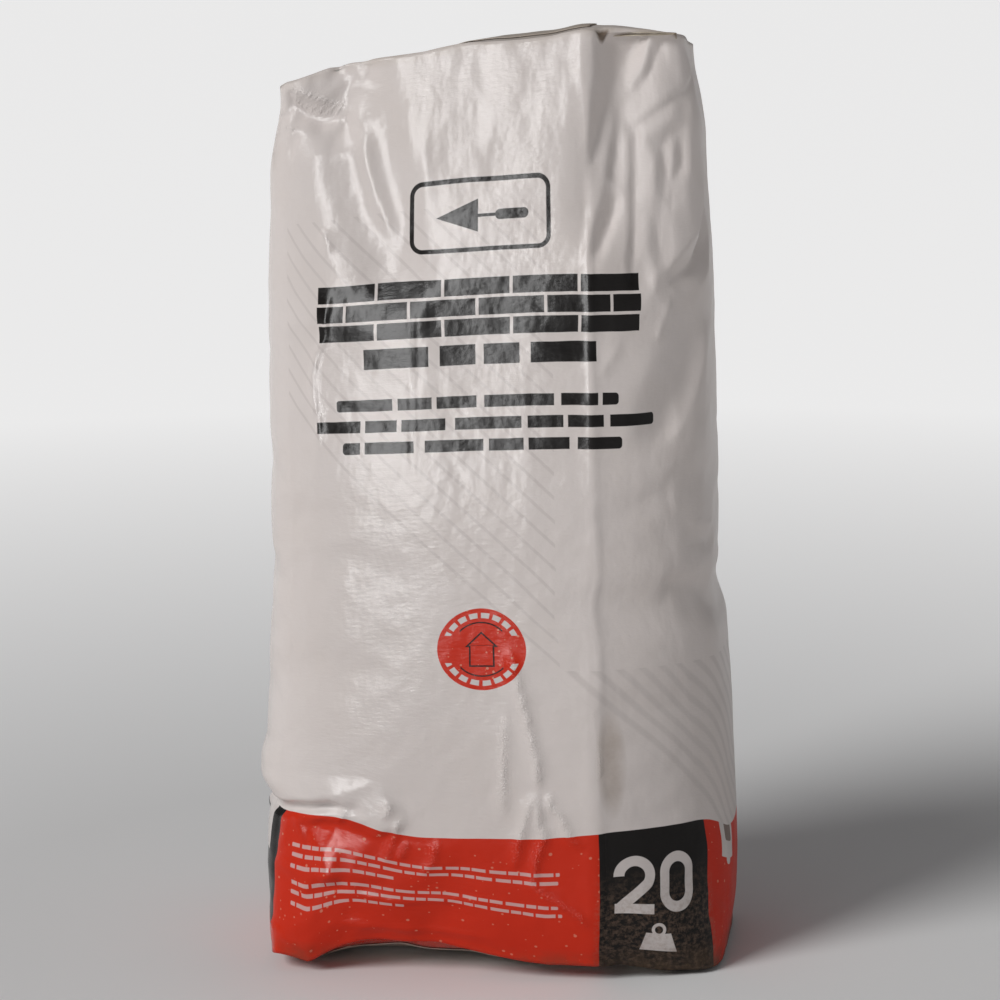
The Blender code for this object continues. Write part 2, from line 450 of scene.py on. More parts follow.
@dataclass(frozen=True)
class PrintPull:
    """How far the prints near the base are pulled up where the film is folded."""

    left: float = 0.012
    left_from: float = -0.030
    left_over: float = 0.055
    right: float = 0.004
    right_from: float = 0.020
    right_over: float = 0.050
    side_drop: float = 0.010
    side_from: float = 0.118
    side_over: float = 0.040
    back_from: float = 0.320
    full_at: float = 0.090
    gone_from: float = 0.110
    gone_over: float = 0.050

    def pulled(self, flat: Array) -> Array:
        """The film's places after the pull.

        Args:
            flat: U and V of each place.

        Returns:
            U, and the V whose print lies there.
        """
        u, v = flat.T
        pull = self.left * smooth((self.left_from - u) / self.left_over)
        pull += self.right * smooth((u - self.right_from) / self.right_over)
        pull -= self.side_drop * smooth((u - self.side_from) / self.side_over)
        pull *= smooth((self.back_from - np.abs(u)) / 0.10)
        pull *= smooth(v / self.full_at) * smooth(1 - (v - self.gone_from) / self.gone_over)
        return np.stack([u, v - pull], axis=1)


def mesh_object(name: str, points: Array, faces: Array) -> bpy.types.Object:
    """A smooth mesh object in the scene.

    Args:
        name: the piece's name.
        points: one row for each vertex.
        faces: the vertex numbers of each face.

    Returns:
        The object, at the origin.
    """
    mesh = bpy.data.meshes.new(name)
    mesh.from_pydata(points.tolist(), [], faces.tolist())
    mesh.update()
    mesh.shade_smooth()
    made = bpy.data.objects.new(name, mesh)
    bpy.context.scene.collection.objects.link(made)
    return made


def vertex_places(mesh: bpy.types.Mesh) -> Array:
    """A mesh's vertices, one row each."""
    values = np.zeros(len(mesh.vertices) * 3, np.float32)
    mesh.vertices.foreach_get("co", values)
    return values.reshape(-1, 3).astype(float)


@dataclass(frozen=True)
class Filling:
    """The pressure simulation that swells a plain box of film and wrinkles it."""

    frames: int = 24
    pressure: float = 6.0
    stiffness: float = 60.0
    bending: float = 3.0
    damping: float = 8.0
    film_mass: float = 0.15
    steps_a_frame: int = 6
    unevenness: float = 0.00025
    seed: int = 4

    def swollen(self, lattice: FilmLattice) -> Array:
        """Runs the simulation.

        Args:
            lattice: the film's cells.

        Returns:
            The box's points after it is filled.
        """
        sizes = np.array([FILM_WIDTH, FILM_DEPTH, FILM_HEIGHT])
        flat_box = lattice.cube * sizes / 2 + np.array([0, 0, FILM_HEIGHT / 2])
        flat_box += np.random.default_rng(self.seed).normal(0, self.unevenness, flat_box.shape)
        film = mesh_object("film_being_filled", flat_box, lattice.faces)
        cloth = film.modifiers.new("filling", "CLOTH")
        cloth.collision_settings.use_collision = False
        cloth.point_cache.frame_start = 1
        cloth.point_cache.frame_end = self.frames
        settings = cloth.settings
        settings.quality = self.steps_a_frame
        settings.mass = self.film_mass
        settings.tension_stiffness = self.stiffness
        settings.compression_stiffness = self.stiffness
        settings.shear_stiffness = self.stiffness / 2
        settings.bending_stiffness = self.bending
        settings.tension_damping = self.damping
        settings.compression_damping = self.damping
        settings.shear_damping = self.damping
        settings.bending_damping = 1.0
        settings.air_damping = 2.0
        settings.use_pressure = True
        settings.uniform_pressure_force = self.pressure
        settings.fluid_density = 0.0
        settings.effector_weights.gravity = 0.0
        scene = bpy.context.scene
        for step in range(1, self.frames + 1):
            scene.frame_set(step)
        filled = film.evaluated_get(bpy.context.evaluated_depsgraph_get())
        result = vertex_places(filled.to_mesh())
        filled.to_mesh_clear()
        mesh = film.data
        bpy.data.objects.remove(film)
        bpy.data.meshes.remove(mesh)
        scene.frame_set(1)
        return result


class Profile(Enum):
    """How a crease's height runs across it."""

    SHARP = "sharp"
    RIDGE = "ridge"
    VALLEY = "valley"


@dataclass(frozen=True)
class Crease:
    """A crease in the film along a line of (U, V) points, in metres on the flat film."""

    line: tuple[Place, ...]
    half_width: float
    height: float
    profile: Profile = Profile.RIDGE
    fade: float = 0.25

    def raised(self, flat: Array) -> Array:
        """How far the crease lifts the film.

        Args:
            flat: U and V of each vertex.

        Returns:
            The lift at each vertex.
        """
        marks = np.array(self.line)
        steps = np.linalg.norm(np.diff(marks, axis=0), axis=1)
        total, walked = steps.sum(), 0.0
        nearest = np.full(len(flat), np.inf)
        place = np.zeros(len(flat))
        for start, end, length in zip(marks, marks[1:], steps):
            along = (end - start) / length
            offset = flat - start
            share = np.clip(offset @ along, 0.0, length)
            away = offset - share[:, None] * along
            distance = np.linalg.norm(away, axis=1)
            closer = distance < nearest
            nearest = np.where(closer, distance, nearest)
            place = np.where(closer, (walked + share) / total, place)
            walked += length
        ends = smooth(place / self.fade) * smooth((1 - place) / self.fade)
        across = nearest / self.half_width
        if self.profile is Profile.SHARP:
            return self.height * ends * np.exp(-across)
        bump = np.exp(-across) * (1 + across)
        return self.height * ends * bump * (1 if self.profile is Profile.RIDGE else -1)


def crinkled_share(creases: tuple[Crease, ...], flat: Array) -> Array:
    """How much the film is crinkled by its sharp creases, from 0 to 1.

    Args:
        creases: the creases that crinkle it.
        flat: U and V of each place.

    Returns:
        The share at each place.
    """
    share = np.zeros(len(flat))
    for crease in creases:
        share = np.maximum(share, np.maximum(crease.raised(flat) / crease.height, 0.0) ** 1.25)
    return np.clip(share, 0.0, 1.0)


@dataclass(frozen=True)
class FoldNet:
    """Flat facets between folds. Each fold is a line of marks: U, V and the film's lift there."""

    folds: tuple[tuple[Mark, ...], ...]
    gain: float = 1.0

    def raised(self, flat: Array) -> Array:
        """How far the facets lift the film.

        Args:
            flat: U and V of each vertex.

        Returns:
            The lift at each vertex, 0 beyond the outermost folds.
        """
        marks = [mark for fold in self.folds for mark in fold]
        edges, count = [], 0
        for fold in self.folds:
            edges += [(count + step, count + step + 1) for step in range(len(fold) - 1)]
            count += len(fold)
        cut = delaunay_2d_cdt([Vector(mark[:2]) for mark in marks], edges, [], 0, 1e-6)
        facets, sources = cut[2], cut[3]
        lift = np.zeros(len(flat))
        for facet in facets:
            first, second, third = (np.array(marks[sources[corner][0]]) for corner in facet)
            sides = np.array([second - first, third - first])
            shares = (flat - first[:2]) @ np.linalg.inv(sides[:, :2])
            inside = (shares > -1e-6).all(axis=1) & (shares.sum(axis=1) < 1 + 1e-6)
            lift[inside] = first[2] + shares[inside] @ sides[:, 2]
        return lift * self.gain


LAY_CREASES = (
    Crease(((0.061, 0.520), (0.062, 0.407), (0.064, 0.217), (0.059, 0.128), (0.058, 0.010)),
           0.0024, 0.0013, Profile.SHARP, 0.04),
    Crease(((-0.036, 0.505), (-0.034, 0.260)), 0.0022, 0.00035, Profile.SHARP),
    Crease(((-0.028, 0.505), (-0.027, 0.300)), 0.0022, 0.00030, Profile.SHARP),
)
TUCK_CREASES = (
    Crease(((-0.077, 0.493), (-0.081, 0.478)), 0.0022, 0.0013, Profile.SHARP),
    Crease(((-0.128, 0.486), (-0.110, 0.484)), 0.0020, 0.0014, Profile.SHARP),
    Crease(((-0.120, 0.484), (-0.116, 0.473)), 0.0020, 0.0013, Profile.SHARP),
    Crease(((-0.088, 0.516), (-0.070, 0.501)), 0.0030, 0.0018, Profile.VALLEY),
    Crease(((-0.063, 0.516), (-0.068, 0.501)), 0.0030, 0.0018, Profile.VALLEY),
    Crease(((-0.068, 0.503), (-0.064, 0.479), (-0.060, 0.461), (-0.054, 0.442), (-0.040, 0.415)),
           0.0036, 0.0034, Profile.RIDGE),
    Crease(((-0.087, 0.433), (-0.082, 0.417)), 0.0022, 0.0017, Profile.SHARP),
    Crease(((-0.085, 0.409), (-0.084, 0.391), (-0.087, 0.371), (-0.093, 0.363), (-0.096, 0.349),
            (-0.095, 0.334), (-0.092, 0.323), (-0.092, 0.300)), 0.0024, 0.0018, Profile.SHARP),
)
UPPER_RIGHT_CREASES = (
    Crease(((0.117, 0.384), (0.104, 0.356)), 0.0030, 0.0013, Profile.SHARP),
    Crease(((0.081, 0.360), (0.066, 0.340)), 0.0030, 0.0011, Profile.SHARP),
    Crease(((0.151, 0.374), (0.140, 0.335), (0.122, 0.309), (0.095, 0.291)), 0.0050, 0.0026,
           Profile.RIDGE),
    Crease(((0.137, 0.372), (0.126, 0.336), (0.108, 0.312), (0.090, 0.303)), 0.0060, 0.0022,
           Profile.VALLEY),
    Crease(((0.104, 0.225), (0.128, 0.221), (0.158, 0.217)), 0.0032, 0.0024, Profile.VALLEY),
    Crease(((0.126, 0.256), (0.160, 0.252)), 0.0028, 0.0014, Profile.SHARP),
    Crease(((0.124, 0.245), (0.160, 0.243)), 0.0030, 0.0014, Profile.VALLEY),
)
CRINKLED_LINES = (
    Crease(((-0.1195, 0.5125), (-0.1065, 0.5079), (-0.0932, 0.4997), (-0.0766, 0.4901)), 0.0014, 1.0,
           Profile.SHARP, 0.06),
    Crease(((-0.1142, 0.5054), (-0.1029, 0.4975), (-0.0920, 0.4935), (-0.0784, 0.4880)), 0.0012,
           1.0, Profile.SHARP, 0.10),
    Crease(((-0.1215, 0.4900), (-0.1131, 0.4876), (-0.1060, 0.4860)), 0.0012, 1.0, Profile.SHARP),
    Crease(((-0.1260, 0.5020), (-0.1230, 0.4950)), 0.0012, 1.0, Profile.SHARP),
    Crease(((0.0582, 0.1590), (0.0582, 0.1568), (0.0595, 0.1361), (0.0603, 0.1167)), 0.0007, 1.0,
           Profile.SHARP, 0.10),
)
TUCK_FOLDS = FoldNet((
    ((-0.128, 0.515, 0.0), (-0.100, 0.5145, 0.0), (-0.062, 0.512, 0.0), (-0.060, 0.478, 0.0),
     (-0.084, 0.466, 0.0), (-0.112, 0.468, 0.0), (-0.132, 0.480, 0.0), (-0.136, 0.500, 0.0),
     (-0.128, 0.515, 0.0)),
    ((-0.1195, 0.5125, 0.0008), (-0.1065, 0.5075, 0.0024), (-0.0932, 0.4995, 0.0026),
     (-0.0785, 0.4910, 0.0012)),
    ((-0.1150, 0.5020, -0.0010), (-0.1040, 0.4950, -0.0022), (-0.0920, 0.4885, -0.0020),
     (-0.0780, 0.4860, -0.0008)),
    ((-0.1240, 0.4930, 0.0010), (-0.1135, 0.4880, 0.0014), (-0.1010, 0.4845, 0.0008),
     (-0.0880, 0.4800, 0.0002)),
    ((-0.1230, 0.4800, -0.0006), (-0.1140, 0.4780, -0.0004)),
), 1.8)
OVERHANG_FOLDS = FoldNet((
    ((-0.160, 0.118, 0.0), (-0.100, 0.120, 0.0), (-0.050, 0.116, 0.0), (-0.038, 0.090, 0.0),
     (-0.050, 0.050, 0.0), (-0.070, 0.040, 0.0), (-0.100, 0.042, 0.0), (-0.126, 0.060, 0.0),
     (-0.160, 0.085, 0.0), (-0.160, 0.118, 0.0)),
    ((-0.148, 0.1020, 0.0012), (-0.124, 0.1030, 0.0022), (-0.100, 0.1050, 0.0024),
     (-0.084, 0.1065, 0.0020), (-0.068, 0.1045, 0.0008)),
    ((-0.146, 0.0955, -0.0014), (-0.1325, 0.0950, -0.0022), (-0.120, 0.0980, -0.0014),
     (-0.100, 0.1000, -0.0012), (-0.084, 0.1015, -0.0010), (-0.073, 0.0990, -0.0002)),
    ((-0.1290, 0.0915, -0.0018), (-0.1165, 0.0930, -0.0006)),
    ((-0.108, 0.0935, 0.0006), (-0.090, 0.0945, 0.0008), (-0.0735, 0.0960, 0.0010),
     (-0.0614, 0.0940, 0.0014), (-0.0525, 0.0880, 0.0016)),
    ((-0.098, 0.0885, -0.0008), (-0.088, 0.0890, -0.0014), (-0.078, 0.0895, -0.0008),
     (-0.0655, 0.0860, -0.0004), (-0.0570, 0.0810, 0.0)),
    ((-0.0965, 0.0720, 0.0004), (-0.0865, 0.0740, 0.0012), (-0.0745, 0.0750, 0.0004)),
    ((-0.0910, 0.0570, 0.0012), (-0.0825, 0.0560, 0.0028), (-0.0735, 0.0550, 0.0012)),
    ((-0.0870, 0.0475, 0.0), (-0.0760, 0.0465, 0.0)),
), 2.0)
UPPER_RIGHT_FOLDS = FoldNet((
    ((0.057, 0.519, 0.0), (0.057, 0.470, 0.0), (0.057, 0.398, 0.0), (0.078, 0.366, 0.0),
     (0.128, 0.362, 0.0), (0.180, 0.372, 0.0), (0.200, 0.420, 0.0), (0.190, 0.470, 0.0),
     (0.160, 0.505, 0.0), (0.126, 0.514, 0.0), (0.112, 0.519, 0.0), (0.057, 0.519, 0.0)),
    ((0.068, 0.513, 0.0004), (0.067, 0.494, 0.0006), (0.0635, 0.476, 0.0004), (0.0605, 0.458, 0.0001)),
    ((0.083, 0.513, -0.0022), (0.083, 0.503, -0.0042), (0.081, 0.492, -0.0044),
     (0.076, 0.479, -0.0036), (0.072, 0.472, -0.0030), (0.067, 0.460, -0.0018),
     (0.062, 0.449, -0.0006)),
    ((0.097, 0.512, -0.0036), (0.088, 0.501, -0.0046), (0.086, 0.490, -0.0038),
     (0.086, 0.484, -0.0034)),
    ((0.104, 0.511, -0.0014), (0.098, 0.497, -0.0012), (0.090, 0.489, -0.0024)),
    ((0.113, 0.509, -0.0032), (0.104, 0.498, -0.0032), (0.095, 0.488, -0.0034),
     (0.088, 0.482, -0.0034)),
    ((0.140, 0.494, 0.0008), (0.126, 0.487, 0.0002), (0.107, 0.4795, -0.0010),
     (0.091, 0.4715, -0.0020)),
    ((0.138, 0.490, -0.0002), (0.126, 0.484, -0.0007), (0.108, 0.4765, -0.0018),
     (0.092, 0.4685, -0.0026)),
    ((0.136, 0.480, 0.0010), (0.127, 0.470, 0.0008), (0.129, 0.460, 0.0016), (0.129, 0.450, 0.0018),
     (0.126, 0.441, 0.0016), (0.127, 0.430, 0.0018), (0.131, 0.418, 0.0014)),
    ((0.123, 0.467, -0.0005), (0.125, 0.451, -0.0004)),
    ((0.089, 0.464, -0.0032), (0.0885, 0.450, -0.0024), (0.088, 0.432, -0.0018),
     (0.088, 0.415, -0.0018), (0.087, 0.398, -0.0014), (0.087, 0.384, -0.0003)),
    ((0.0845, 0.460, -0.0016), (0.0840, 0.444, -0.0004), (0.0840, 0.424, 0.0), (0.083, 0.400, 0.0)),
    ((0.0770, 0.474, -0.0028), (0.0735, 0.460, -0.0006), (0.0705, 0.447, 0.0008),
     (0.0665, 0.433, 0.0014), (0.0625, 0.419, 0.0009), (0.0600, 0.405, 0.0002)),
    ((0.0800, 0.472, -0.0036), (0.0775, 0.458, -0.0026), (0.0750, 0.447, -0.0016)),
    ((0.0735, 0.4405, 0.0), (0.0790, 0.4375, -0.0001), (0.0825, 0.4335, 0.0)),
    ((0.0765, 0.433, -0.0016), (0.0740, 0.425, -0.0020), (0.0690, 0.414, -0.0016),
     (0.0640, 0.404, -0.0004)),
    ((0.0785, 0.426, -0.0002), (0.0745, 0.414, 0.0003), (0.0700, 0.403, 0.0005),
     (0.067, 0.392, 0.0002)),
    ((0.158, 0.447, 0.0010), (0.146, 0.430, 0.0018), (0.137, 0.4155, 0.0019), (0.124, 0.405, 0.0012),
     (0.112, 0.3965, 0.0003)),
    ((0.182, 0.436, -0.0016), (0.166, 0.420, -0.0032), (0.150, 0.406, -0.0036),
     (0.136, 0.398, -0.0030), (0.124, 0.393, -0.0018), (0.114, 0.388, -0.0004)),
    ((0.176, 0.408, 0.0), (0.158, 0.394, 0.0006), (0.142, 0.387, 0.0008), (0.126, 0.382, 0.0002)),
    ((0.097, 0.392, -0.0008), (0.1035, 0.3945, 0.0008), (0.1015, 0.385, 0.0004)),
    ((0.096, 0.463, -0.0016), (0.106, 0.467, -0.0006), (0.116, 0.472, 0.0002)),
    ((0.110, 0.459, -0.0016), (0.113, 0.447, -0.0014)),
    ((0.103, 0.452, -0.0004), (0.102, 0.438, -0.0002)),
    ((0.119, 0.456, 0.0004), (0.118, 0.440, -0.0002)),
    ((0.098, 0.428, -0.0011), (0.110, 0.433, -0.0004)),
    ((0.106, 0.420, -0.0013), (0.116, 0.426, 0.0003)),
    ((0.097, 0.410, -0.0002), (0.108, 0.408, -0.0009)),
), 1.6)
LEVEL_CREASES = (
    Crease(((-0.093, 0.050), (-0.065, 0.038), (-0.047, 0.034), (0.008, 0.040)), 0.0030, 0.0014,
           Profile.SHARP),
    Crease(((-0.089, 0.024), (-0.067, 0.013), (-0.032, 0.010), (0.012, 0.015)), 0.0030, 0.0014,
           Profile.SHARP),
    Crease(((-0.087, 0.058), (-0.074, 0.030), (-0.065, 0.012)), 0.0030, 0.0014, Profile.VALLEY),
    Crease(((-0.137, 0.024), (-0.109, 0.011), (-0.090, 0.006)), 0.0026, 0.0014, Profile.SHARP),
)
STREAKS = (
    Crease(((-0.079, 0.105), (-0.077, 0.090)), 0.0022, 0.0013, Profile.SHARP),
    Crease(((-0.050, 0.106), (-0.054, 0.094)), 0.0022, 0.0012, Profile.SHARP),
    Crease(((-0.045, 0.098), (-0.045, 0.088), (-0.053, 0.060)), 0.0024, 0.0013, Profile.SHARP),
    Crease(((-0.039, 0.081), (-0.045, 0.065)), 0.0024, 0.0012, Profile.SHARP),
    Crease(((-0.024, 0.083), (-0.027, 0.066), (-0.034, 0.055)), 0.0024, 0.0012, Profile.SHARP),
    Crease(((0.012, 0.160), (0.011, 0.128), (0.009, 0.088)), 0.0022, 0.0008, Profile.SHARP),
    Crease(((0.014, 0.194), (0.018, 0.176), (0.023, 0.153), (0.028, 0.126), (0.028, 0.108)), 0.0026,
           0.0022, Profile.SHARP, 0.15),
    Crease(((0.028, 0.114), (0.023, 0.101), (0.017, 0.079), (0.014, 0.060)), 0.0024, 0.0018,
           Profile.SHARP),
    Crease(((0.028, 0.114), (0.028, 0.092), (0.031, 0.085), (0.026, 0.070), (0.024, 0.055),
            (0.032, 0.048), (0.048, 0.035), (0.057, 0.023)), 0.0024, 0.0019, Profile.SHARP, 0.15),
    Crease(((0.034, 0.113), (0.034, 0.102), (0.039, 0.097), (0.044, 0.083), (0.053, 0.077)), 0.0022,
           0.0017, Profile.SHARP),
)


class Socket:
    """A shader socket whose arithmetic adds Math nodes to its tree."""

    def __init__(self, bench: "NodeBench", output: bpy.types.NodeSocket) -> None:
        """Wraps an output socket of one of the bench's nodes."""
        self.bench = bench
        self.output = output

    def __add__(self, other: "Number") -> "Socket":
        """This plus a number or socket."""
        return self.bench.maths("ADD", self, other)

    def __sub__(self, other: "Number") -> "Socket":
        """This less a number or socket."""
        return self.bench.maths("SUBTRACT", self, other)

    def __rsub__(self, other: "Number") -> "Socket":
        """A number less this."""
        return self.bench.maths("SUBTRACT", other, self)

    def __mul__(self, other: "Number") -> "Socket":
        """This times a number or socket."""
        return self.bench.maths("MULTIPLY", self, other)

    def __truediv__(self, other: "Number") -> "Socket":
        """This over a number or socket."""
        return self.bench.maths("DIVIDE", self, other)

    def __pow__(self, other: "Number") -> "Socket":
        """This to a power."""
        return self.bench.maths("POWER", self, other)

    def __neg__(self) -> "Socket":
        """This with its sign turned."""
        return self.bench.maths("MULTIPLY", self, -1.0)

    def __abs__(self) -> "Socket":
        """The size of this without its sign."""
        return self.bench.maths("ABSOLUTE", self)

    __radd__ = __add__
    __rmul__ = __mul__

    def above(self, other: "Number") -> "Socket":
        """1 where this is greater, otherwise 0."""
        return self.bench.maths("GREATER_THAN", self, other)

    def at_least(self, other: "Number") -> "Socket":
        """The greater of this and a number or socket."""
        return self.bench.maths("MAXIMUM", self, other)

    def at_most(self, other: "Number") -> "Socket":
        """The lesser of this and a number or socket."""
        return self.bench.maths("MINIMUM", self, other)

    def clamped(self) -> "Socket":
        """This kept from 0 to 1."""
        return self.bench.maths("ADD", self, 0.0, clamp=True)

    def wave(self) -> "Socket":
        """The sine of this."""
        return self.bench.maths("SINE", self)

    def cell(self) -> "Socket":
        """The whole number below this."""
        return self.bench.maths("FLOOR", self)

    def part(self) -> "Socket":
        """What is left of this above the whole number below."""
        return self.bench.maths("FRACT", self)


Number = float | Socket


class NodeBench:
    """A node tree and the few ways in which its nodes are added."""

    def __init__(self, tree: bpy.types.NodeTree) -> None:
        """Takes an empty tree."""
        self.tree = tree

    def node(self, kind: str, settings: dict | None = None, inputs: dict | None = None) -> bpy.types.Node:
        """Adds any node.

        Args:
            kind: the node's type.
            settings: its properties.
            inputs: values or sockets for its inputs, by name or number.

        Returns:
            The node.
        """
        made = self.tree.nodes.new(kind)
        for key, value in (settings or {}).items():
            setattr(made, key, value)
        for key, value in (inputs or {}).items():
            if isinstance(value, Socket):
                self.tree.links.new(value.output, made.inputs[key])
            else:
                made.inputs[key].default_value = value
        return made

    def socket(self, node: bpy.types.Node, key: str | int = 0) -> Socket:
        """One of a node's outputs."""
        return Socket(self, node.outputs[key])

    def added(self, kind: str, settings: dict | None = None, inputs: dict | None = None) -> Socket:
        """The first output of a node that it adds."""
        return self.socket(self.node(kind, settings, inputs))

    def maths(self, operation: str, *values: Number, clamp: bool = False) -> Socket:
        """Adds a Math node.

        Args:
            operation: what it does.
            values: its inputs.
            clamp: whether its result is kept from 0 to 1.

        Returns:
            Its output.
        """
        settings = {"operation": operation, "use_clamp": clamp}
        return self.socket(self.node("ShaderNodeMath", settings, dict(enumerate(values))))

    def mixed(self, factor: Number, low: "Socket | Colour", high: "Socket | Colour") -> Socket:
        """A colour between two colours.

        Args:
            factor: 0 for the first, 1 for the second.
            low: the first colour.
            high: the second colour.

        Returns:
            The mixed colour.
        """
        colours = [value if isinstance(value, Socket) else (*value, 1.0) for value in (low, high)]
        inputs = {0: factor, 6: colours[0], 7: colours[1]}
        return self.socket(self.node("ShaderNodeMix", {"data_type": "RGBA"}, inputs), 2)

    def vector(self, x: Number, y: Number, z: Number = 0.0) -> Socket:
        """A vector of three numbers."""
        return self.socket(self.node("ShaderNodeCombineXYZ", None, {0: x, 1: y, 2: z}))

    def parts(self, vector: Socket) -> tuple[Socket, Socket, Socket]:
        """The three numbers of a vector."""
        split = self.node("ShaderNodeSeparateXYZ", None, {0: vector})
        return tuple(self.socket(split, axis) for axis in range(3))


class MaterialBench(NodeBench):
    """A material's node tree, with textures and the final shader."""

    def __init__(self, name: str) -> None:
        """Starts a material with an empty tree."""
        self.material = bpy.data.materials.new(name)
        self.material.use_nodes = True
        super().__init__(self.material.node_tree)
        self.tree.nodes.clear()

    def noise(self, vector: Socket, scale: float, detail: float = 2.0, roughness: float = 0.5) -> Socket:
        """A noise texture's value, from 0 to 1 round 0.5.

        Args:
            vector: where it is read.
            scale: how many of its waves fit in a metre.
            detail: how many finer layers it has.
            roughness: how strong the finer layers are.

        Returns:
            The value.
        """
        inputs = {"Vector": vector, "Scale": scale, "Detail": detail, "Roughness": roughness}
        return self.socket(self.node("ShaderNodeTexNoise", None, inputs), "Fac")

    def specks(self, vector: Socket, scale: float, size: float) -> Socket:
        """Small specks, each at a random place in its cell and of a random size.

        Args:
            vector: where the texture is read.
            scale: cells in a metre.
            size: the largest speck's radius as a share of its cell.

        Returns:
            1 in a speck, otherwise 0.
        """
        dots = self.node("ShaderNodeTexVoronoi", None, {"Vector": vector, "Scale": scale})
        shade = self.socket(self.node("ShaderNodeSeparateColor", None, {0: self.socket(dots, "Color")}))
        return ((shade * shade * size - self.socket(dots, "Distance")) * 12.0 + 0.5).clamped()

    def finish(
        self, shader: dict, bump: Socket | None = None, bump_depth: float = 0.0
    ) -> bpy.types.Material:
        """Adds the Principled shader and the material's output.

        Args:
            shader: values or sockets for the shader's inputs.
            bump: the height of the surface's fine relief.
            bump_depth: the depth of a height of 1, in metres.

        Returns:
            The material.
        """
        principled = self.node("ShaderNodeBsdfPrincipled", None, shader)
        if bump is not None:
            relief = self.node("ShaderNodeBump", None, {"Height": bump, "Distance": bump_depth})
            self.tree.links.new(relief.outputs[0], principled.inputs["Normal"])
        output = self.node("ShaderNodeOutputMaterial")
        self.tree.links.new(principled.outputs[0], output.inputs[0])
        return self.material


class Chart:
    """Plane figures on the flat film, as distances to their outlines that are below 0 inside."""

    def __init__(self, bench: NodeBench, u: Socket, v: Socket) -> None:
        """Takes the film's two coordinates."""
        self.bench = bench
        self.u = u
        self.v = v

    def moved(self, place: Place, rise: float = 0.0) -> "Chart":
        """The chart with its origin moved, and its rows rising to the right.

        Args:
            place: the new origin.
            rise: how far the rows rise for each metre to the right.

        Returns:
            The new chart.
        """
        u = self.u - place[0]
        v = self.v - place[1]
        return Chart(self.bench, u, v - u * rise if rise else v)

    def box(self, half_width: float, half_height: float, corner: float = 0.0) -> Socket:
        """A box round the origin, with round corners where corner is above 0."""
        if not corner:
            return (abs(self.u) - half_width).at_least(abs(self.v) - half_height)
        past_u = (abs(self.u) - (half_width - corner)).at_least(0.0)
        past_v = (abs(self.v) - (half_height - corner)).at_least(0.0)
        return (past_u * past_u + past_v * past_v) ** 0.5 - corner

    def disc(self, radius: float) -> Socket:
        """A disc round the origin."""
        return (self.u * self.u + self.v * self.v) ** 0.5 - radius

    def bar(self, start: Place, end: Place, half_width: float) -> Socket:
        """A straight bar with round ends.

        Args:
            start: one end.
            end: the other end.
            half_width: half its thickness.

        Returns:
            The distance to its outline.
        """
        run = (end[0] - start[0], end[1] - start[1])
        square = run[0] ** 2 + run[1] ** 2
        u, v = self.u - start[0], self.v - start[1]
        share = ((u * run[0] + v * run[1]) / square).clamped()
        away_u, away_v = u - share * run[0], v - share * run[1]
        return (away_u * away_u + away_v * away_v) ** 0.5 - half_width


def line_of(distance: Socket, thickness: float) -> Socket:
    """The outline of a figure, as a line of its own."""
    return abs(distance) - thickness / 2


def inked(distance: Socket, softness: float = 0.00025) -> Socket:
    """1 inside a figure and 0 outside, with a slightly soft edge."""
    return (0.5 - distance / softness).clamped()


@dataclass(frozen=True)
class Palette:
    """The film's colours, in linear light."""

    white: Colour = (0.660, 0.603, 0.578)
    grey_stripe: Colour = (0.590, 0.536, 0.513)
    red: Colour = (0.560, 0.026, 0.008)
    black: Colour = (0.009, 0.0075, 0.007)
    print_white: Colour = (0.60, 0.55, 0.53)
    dust: Colour = (0.42, 0.35, 0.27)
    dirt: Colour = (0.10, 0.062, 0.035)
    cloud: Colour = (0.60, 0.535, 0.495)
    red_fleck: Colour = (0.66, 0.30, 0.20)
    disc_fleck: Colour = (0.70, 0.36, 0.25)
    block_dust: Colour = (0.26, 0.17, 0.12)
    # Partly a brown stain, partly painted shade of the hollow right of the crease.
    brown_stain_and_shade: Colour = (0.30, 0.225, 0.160)
    label_patch: Colour = (0.11, 0.055, 0.035)
    # Partly a stain, partly painted shade of the valve's opening.
    valve_stain_and_shade: Colour = (0.09, 0.055, 0.03)


@dataclass(frozen=True)
class StripeField:
    """The pale diagonal stripes of the background."""

    spacing: float = 0.0094
    share: float = 0.19
    right_share: float = 0.48
    left: float = -0.118
    right: float = 0.230
    turn: float = 0.041
    top: float = 0.437
    shelf: float = 0.179
    end_of_last: Place = (0.041, 0.181)

    def ink(self, chart: Chart) -> Socket:
        """The stripes' mask.

        Args:
            chart: the film's chart.

        Returns:
            1 on a stripe, otherwise 0.
        """
        across = (chart.u - self.end_of_last[0] + chart.v - self.end_of_last[1]) / math.sqrt(2)
        phase = (across / self.spacing).part()
        right_of_turn = (chart.u - self.turn).above(0.0)
        share = right_of_turn * (self.right_share - self.share) + self.share
        edge = 30.0 - right_of_turn * 24.0
        stripe = ((share - phase) * edge + 0.5).clamped() * (phase * edge).clamped()
        above_last = (across + self.spacing * 0.5).above(0.0)
        left_part = (chart.u - self.left).above(0.0) * (self.top - chart.v).above(0.0) * (1 - right_of_turn)
        right_part = right_of_turn * (self.shelf - chart.v).above(0.0) * (self.right - chart.u).above(0.0)
        return stripe * above_last * (left_part + right_part).clamped()


